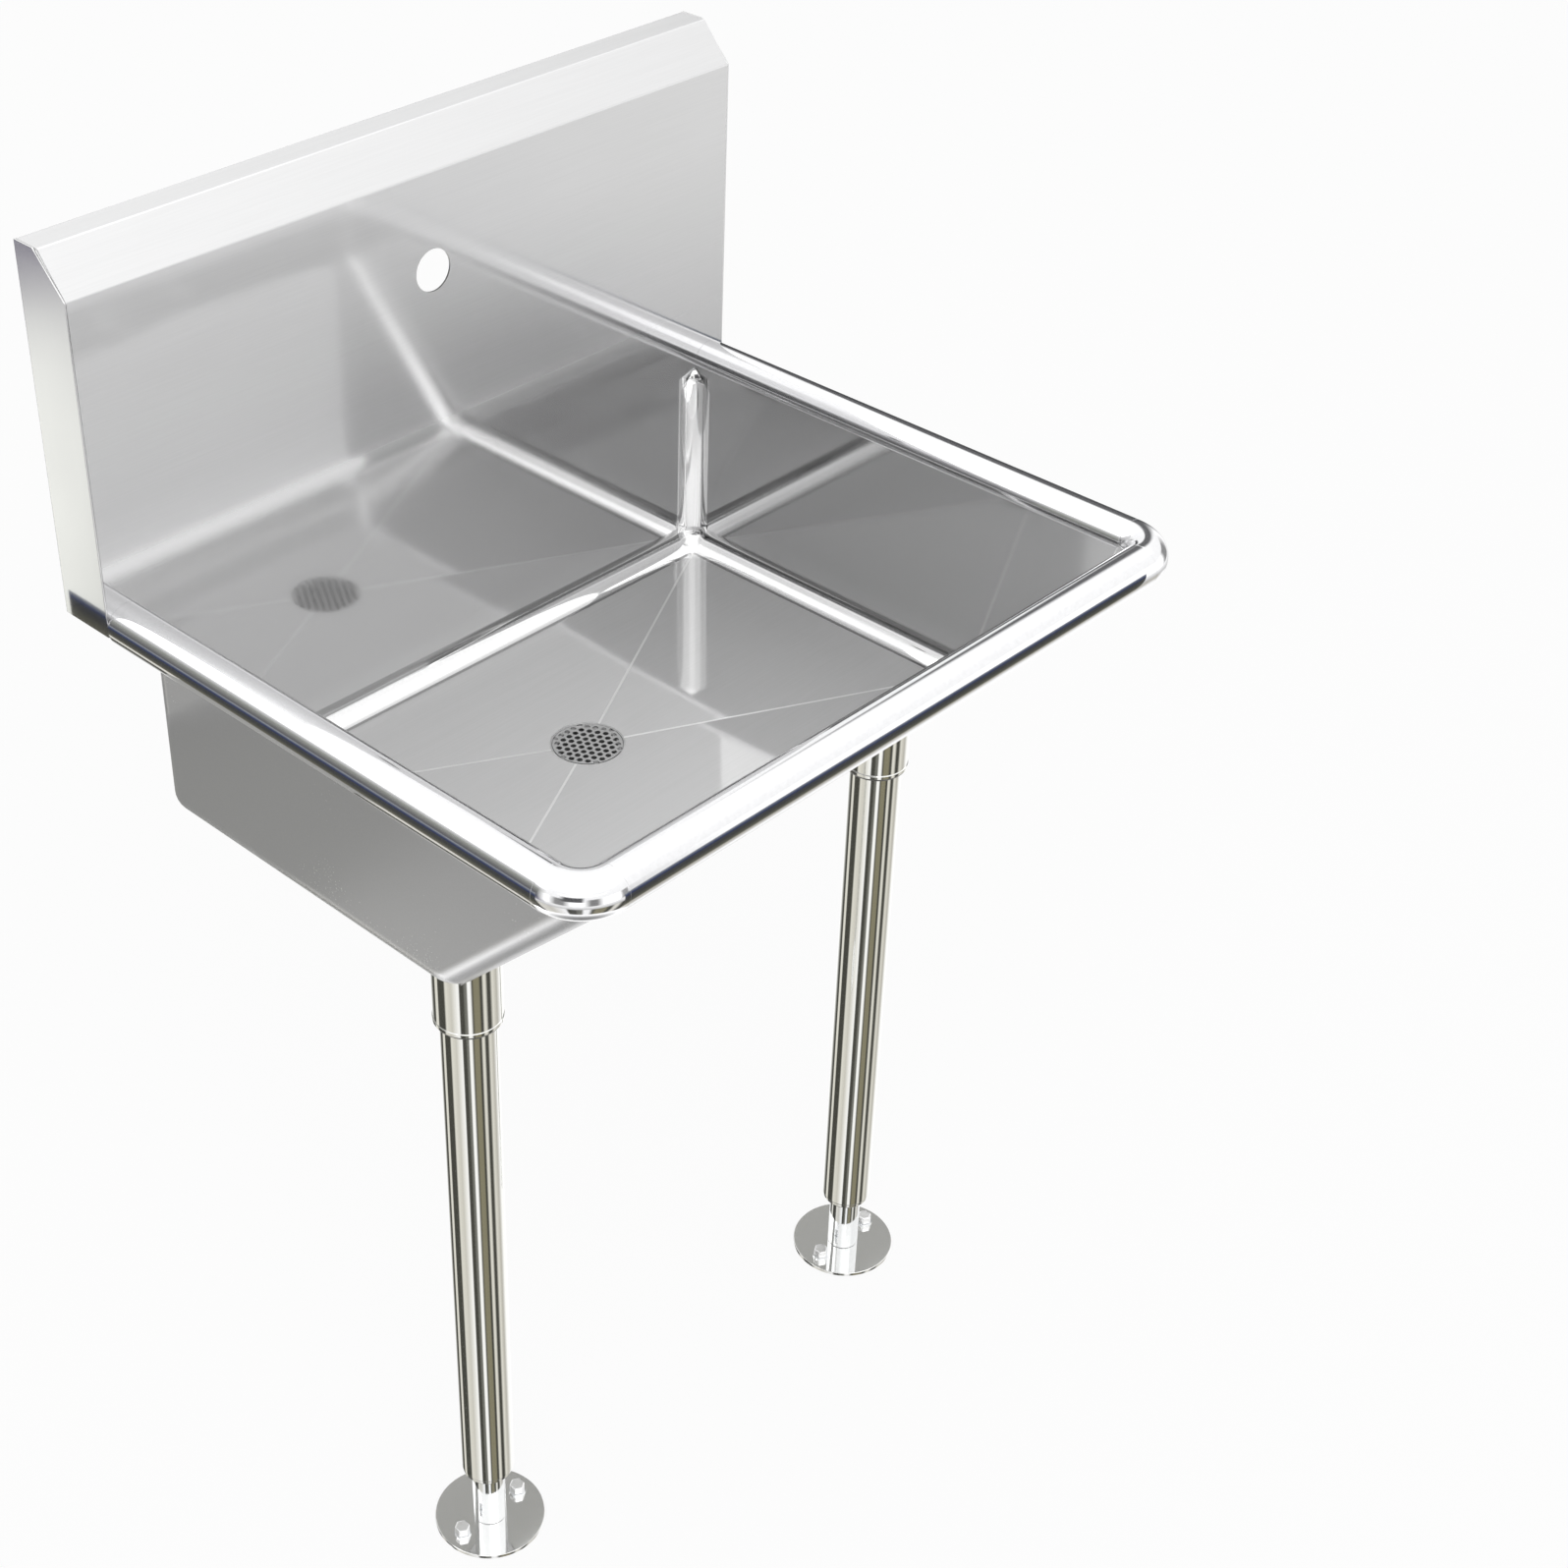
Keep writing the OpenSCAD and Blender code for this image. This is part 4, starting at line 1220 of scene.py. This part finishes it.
@dataclass
class Studio:
    """Camera, pale floor and the soft studio round the sink."""

    FLAG_SHADES: ClassVar[Stops] = (
        (0.0, (0.2, 0.19, 0.15)), (0.35, (0.1, 0.1, 0.08)), (0.6, (0.06, 0.06, 0.06)), (0.76, (0.06, 0.065, 0.07)),
        (0.83, (0.03, 0.04, 0.12)), (0.9, (0.1, 0.12, 0.18)), (1.0, (0.35, 0.37, 0.4)))
    CARD_GREY: ClassVar[Colour] = (0.4, 0.4, 0.385)
    LEVELS: ClassVar[Stops] = (
        (-90, grey(0.25)), (-75, grey(0.5)), (-65, grey(1.3)), (-58, grey(1.3)), (-50, (0.7, 0.7, 0.69)),
        (-34, (0.62, 0.62, 0.61)), (-29, grey(0.7)), (-21.3, grey(1.05)), (-5, grey(1.1)), (35, grey(1.2)),
        (48, grey(1.35)), (72, grey(2.2)))
    STRIPES: ClassVar[Stops] = (
        (-180, DARK), (-169, DARK), (-165, CREAM), (-153, CREAM), (-149, DARK), (-122, DARK), (-116, CREAM),
        (-95, (0.7, 0.68, 0.62)), (-70, WHITE), (-66, DARK), (-55, DARK), (-50, (0.2, 0.2, 0.18)),
        (-44, (0.2, 0.2, 0.18)), (-40, WHITE), (-32, WHITE), (-26, DARK), (-20, OLIVE), (-4, OLIVE), (1, DARK),
        (6, DARK), (12, CREAM), (18, CREAM), (26, DARK), (36, DARK), (46, CREAM), (66, (0.55, 0.53, 0.48)),
        (86, WHITE), (150, WHITE), (170, (0.4, 0.4, 0.38)), (180, DARK))
    STRIPED: ClassVar[Edges] = (-60, -56, -33, -30.5)
    ROOM: ClassVar[Tones] = (
        (-180, 0.9), (-168, 0.4), (-156, 0.35), (-140, 1.5), (-96, 1.5), (-84, 0.3), (-72, 0.3), (-58, 1.6),
        (-42, 1.6), (-30, 0.25), (-20, 0.25), (-8, 1.6), (6, 1.8), (16, 1.7), (22, 0.4), (30, 0.35), (38, 1.4),
        (50, 1.6), (66, 1.6), (78, 0.3), (92, 0.3), (106, 1.3), (148, 1.3), (160, 0.4), (180, 0.9))
    ROOM_BAND: ClassVar[Edges] = (-19, -15, 9, 14)
    WALL: ClassVar[Stops] = (
        (-23, (0.3, 0.28, 0.36)), (-14, (0.12, 0.12, 0.16)), (0, grey(0.15)), (13, (0.33, 0.34, 0.31)),
        (22, grey(0.7)), (27, grey(1.9)), (38, grey(2.3)), (60, grey(2.8)))
    WALL_WAYS: ClassVar[Tones] = ((-180, 0.3), (-165, 1), (-115, 1), (-100, 0), (160, 0), (180, 0.3))
    WALL_FOOT: ClassVar[tuple[float, float]] = (-25, -23.3)
    PATCHES: ClassVar[tuple[Patch, ...]] = (
        Patch((-152, -150.5, -148.3, -147.2), (-33.6, -31.6, -25, -22.9), (1.9, 1.92, 1.8)),
        Patch((108, 116, 130, 132.5), (-22, -14, 30, 41), (0.12, 0.12, 0.125)),
        Patch((112, 120, 143, 147), (-30, -24, 9, 14), (0.07, 0.07, 0.075)),
        Patch((-66, -58, -32, -24), (25, 27.5, 46, 52), grey(1.55)),
        Patch((-50, -38, 8, 20), (44, 48, 57, 62), grey(2.4)),
        Patch((-158, -150, -138, -130), (-68, -63, -55, -51.5), grey(3.0)),
        Patch((-84, -78, -10, 0), (24.5, 26, 28.4, 29.3), grey(2.0)),
        Patch((-80, -70, -44, -38), (0, 4, 19, 23), (0.08, 0.08, 0.085)),
        Patch((112, 120, 146, 152), (42, 45, 52, 56), grey(1.8)))
    PLAIN_LIGHT: ClassVar[float] = 0.85

    azimuth: float = -45.0
    elevation: float = 35.2644
    eye: tuple[float, float, float] = (-1113.29, -1298.6, 1696.21)
    lens: float = 59.195
    sensor: float = 36.0
    shift: float = 0.1058
    far: float = 50.0
    floor_size: float = 12.0
    floor_tone: float = 0.9
    floor_white: float = 0.88
    flag_low: float = 748.0
    flag_high: float = 773.0
    flag_x: float = 315.0
    flag_y: float = -469.0
    flag_run: tuple[float, float] = (-415.0, 60.0)
    flag_half: float = 262.0
    flag_thin: float = 0.1
    wall_low: tuple[float, float, float] = (-700.0, 60.0, 390.0)
    wall_high: tuple[float, float, float] = (900.0, 61.0, 640.0)
    lamp_power: float = 14.0
    lamp_size: float = 1.6
    lamp_at: tuple[float, float, float] = (-1.2, -1.6, 1.6)
    lamp_aim: tuple[float, float, float] = (1.2, 1.4, -1.9)
    softbox_power: float = 0.27
    softbox_size: tuple[float, float] = (0.5, 0.4)
    softbox_at: tuple[float, float, float] = (-699.0, 209.0, 77.0)
    softbox_aim: tuple[float, float, float] = (-274.0, -297.0, 612.0)

    def camera(self) -> None:
        """Sets the camera up at the photograph's viewing angle."""
        turn, rise = math.radians(self.azimuth), math.radians(self.elevation)
        back = Vector((math.sin(turn) * math.cos(rise), -math.cos(turn) * math.cos(rise), math.sin(rise)))
        right = Vector((math.cos(turn), math.sin(turn), 0))
        data = bpy.data.cameras.new("camera")
        data.lens = self.lens
        data.sensor_width = self.sensor
        data.shift_x = self.shift
        data.clip_end = self.far
        eye = bpy.data.objects.new("camera", data)
        turned = Matrix((right, back.cross(right), back)).transposed().to_4x4()
        turned.translation = spot(*self.eye)
        eye.matrix_world = turned
        bpy.context.scene.collection.objects.link(eye)
        bpy.context.scene.camera = eye

    def floor(self) -> None:
        """Lays the pale floor, which keeps the sink's shadow and rides on the left foot that stands on it."""
        Bench.clear()
        bpy.ops.mesh.primitive_plane_add(size=1, location=spot(0, 0, 0))
        floor = Bench.place("floor", (self.floor_size, self.floor_size, 1))
        floor.visible_glossy = False
        made = bpy.data.materials.new("pale floor")
        tree = Wiring(made)
        skin = tree.nodes["Principled BSDF"]
        tree.feed(skin, {"Base Color": (*grey(self.floor_tone), 1), "Roughness": 0.9, "Specular IOR Level": 0.0})
        share = tree.times(tree.add("LightPath").outputs["Is Camera Ray"], self.floor_white)
        glow = tree.add("Emission")
        both = tree.add("MixShader", {"Fac": share, 1: skin.outputs["BSDF"], 2: glow.outputs["Emission"]})
        tree.show(both.outputs["Shader"])
        floor.data.materials.append(made)
        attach(floor, "foot_left")

    @staticmethod
    def glowing(name: str) -> tuple[Look, Wiring, Node]:
        """Starts a material that only glows.

        Args:
            name: name of the material.

        Returns:
            The material, its nodes and the glow.
        """
        made = bpy.data.materials.new(name)
        tree = Wiring(made)
        tree.nodes.remove(tree.nodes["Principled BSDF"])
        glow = tree.add("Emission")
        tree.show(glow.outputs["Emission"])
        return made, tree, glow

    @staticmethod
    def card(name: str, low: Vector, high: Vector, look: Look) -> None:
        """Stands a card that only mirrored rays see.

        Args:
            name: name of the card.
            low: one corner in metres.
            high: the opposite corner in metres.
            look: the card's material.
        """
        card = Bench.block(name, low, high)
        for ray in ("camera", "diffuse", "shadow", "transmission"):
            setattr(card, f"visible_{ray}", False)
        card.data.materials.append(look)

    def cards(self) -> None:
        """Stands narrow dark flags along the rim's three runs and a low grey card behind the sink."""
        dark, tree, glow = self.glowing("dark flag")
        height = tree.rise(tree.add("TexCoord").outputs["Object"], (self.flag_low, self.flag_high))
        tree.feed(glow, {"Color": tree.ramp(height, self.FLAG_SHADES)})
        for side in Side:
            x, (front, back) = side.value * self.flag_x, self.flag_run
            self.card(f"flag_{side.word}", spot(x - self.flag_thin, front, self.flag_low),
                      spot(x + self.flag_thin, back, self.flag_high), dark)
        plain, tree, glow = self.glowing("grey wall")
        tree.feed(glow, {"Color": (*self.CARD_GREY, 1)})
        self.card("wall_low", spot(*self.wall_low), spot(*self.wall_high), plain)
        self.card("flag_front", spot(-self.flag_half, self.flag_y - self.flag_thin, self.flag_low),
                  spot(self.flag_half, self.flag_y + self.flag_thin, self.flag_high), dark)

    def lamp(self) -> None:
        """Hangs one large soft lamp over the front left, which the metal does not mirror."""
        data = bpy.data.lights.new("soft lamp", "AREA")
        data.energy = self.lamp_power
        data.size = self.lamp_size
        lamp = bpy.data.objects.new("soft lamp", data)
        lamp.location = self.lamp_at
        lamp.rotation_euler = Vector(self.lamp_aim).to_track_quat("-Z", "Y").to_euler()
        lamp.visible_glossy = False
        bpy.context.scene.collection.objects.link(lamp)

    def softbox(self) -> None:
        """Stands a small softbox low on the left, which lights the bowl's lower corner and nothing else."""
        data = bpy.data.lights.new("low softbox", "AREA")
        data.shape = "RECTANGLE"
        data.size, data.size_y = self.softbox_size
        data.energy = self.softbox_power
        box = bpy.data.objects.new("low softbox", data)
        box.location = spot(*self.softbox_at)
        box.rotation_euler = (spot(*self.softbox_aim) - box.location).to_track_quat("-Z", "Y").to_euler()
        box.visible_camera = False
        bpy.context.scene.collection.objects.link(box)
        lit = bpy.data.collections.new("lit from below")
        lit.objects.link(bpy.data.objects["bowl_tub"])
        box.light_linking.receiver_collection = lit

    def sky(self) -> None:
        """Paints the studio that the metal mirrors: white above, a striped band below and soft patches."""
        world = bpy.data.worlds.new("studio")
        bpy.context.scene.world = world
        tree = Wiring(world)
        split = tree.add("SeparateXYZ", {"Vector": tree.add("TexCoord").outputs["Generated"]})
        rise = split.outputs["Z"]
        height = tree.span(rise, -1, 1)
        angle = tree.add("Math", {0: split.outputs["X"], 1: tree.times(split.outputs["Y"], -1)}, operation="ARCTAN2")
        way = tree.span(angle.outputs["Value"], -math.pi, math.pi)
        shown = tree.ramp(height, self.placed(self.LEVELS, self.level))
        stripes = tree.ramp(way, self.placed(self.STRIPES, self.way))
        shown = tree.blend(self.between(tree, rise, self.STRIPED), shown, stripes)
        room = tree.ramp(way, self.placed(self.greys(self.ROOM), self.way))
        shown = tree.blend(self.between(tree, rise, self.ROOM_BAND), shown, room)
        wall = tree.ramp(height, self.placed(self.WALL, self.level))
        sector = tree.ramp(way, self.placed(self.greys(self.WALL_WAYS), self.way))
        shown = tree.blend(tree.times(self.fade(tree, rise, *self.WALL_FOOT), sector), shown, wall)
        for patch in self.PATCHES:
            across = tree.ramp(way, self.placed(self.greys(zip(patch.ways, (0, 1, 1, 0))), self.way))
            share = tree.times(across, self.between(tree, rise, patch.heights))
            shown = tree.blend(share, shown, (*patch.colour, 1))
        tree.feed(tree.nodes["Background"], {"Color": self.by_ray(tree, shown)})

    @staticmethod
    def greys(tones: Iterable[tuple[float, float]]) -> list[tuple[float, Colour]]:
        """Turns tones by their place into greys by their place."""
        return [(place, grey(tone)) for place, tone in tones]

    @staticmethod
    def placed(stops: Iterable[tuple[float, Colour]], ruler: Callable[[float], float]) -> list[tuple[float, Colour]]:
        """Puts stops that are given in degrees onto a ramp, by its ruler."""
        return [(ruler(degrees), colour) for degrees, colour in stops]

    @staticmethod
    def level(degrees: float) -> float:
        """Place of a height above the horizon on the ramp."""
        return (math.sin(math.radians(degrees)) + 1) / 2

    @staticmethod
    def way(degrees: float) -> float:
        """Place of a compass direction on the ramp."""
        return (degrees + 180) / 360

    @staticmethod
    def fade(tree: Wiring, rise: Socket, start: float, end: float) -> Socket:
        """Fades softly from 0 to 1 between two heights in degrees, by the ray's upward share."""
        return tree.span(rise, math.sin(math.radians(start)), math.sin(math.radians(end)), soft=True)

    @staticmethod
    def between(tree: Wiring, rise: Socket, edges: Edges) -> Socket:
        """Gives 1 in a band of heights and fades to 0 above and below it, by the band's four edges."""
        start, full, still, end = edges
        return tree.times(Studio.fade(tree, rise, start, full), Studio.fade(tree, rise, end, still))

    def by_ray(self, tree: Wiring, mirrored: Socket) -> Socket:
        """Shows white to the camera, the studio to mirrored rays and plain light to the rest.

        Args:
            tree: the world's nodes.
            mirrored: the studio's colour.

        Returns:
            The chosen colour.
        """
        path = tree.add("LightPath")
        lit = tree.blend(path.outputs["Is Glossy Ray"], (*grey(self.PLAIN_LIGHT), 1), mirrored)
        return tree.blend(path.outputs["Is Camera Ray"], lit, (1, 1, 1, 1))

    def build(self) -> None:
        """Sets up the camera, the floor, the cards, the lamps and the studio."""
        self.camera()
        self.floor()
        self.cards()
        self.lamp()
        self.softbox()
        self.sky()
        bpy.context.scene.view_settings.view_transform = "Standard"


def main() -> None:
    """Builds the sink's pieces in order."""
    logging.basicConfig(level=logging.INFO, format="%(message)s")
    Backsplash().build()
    dress("hanger_rail", MILL)
    dress("wall_bracket", MILL)
    Bowl().build()
    Rim().build()
    Drain().build()
    for side in Side:
        Leg(side).build()
    Studio().build()


if __name__ == "__main__":
    main()
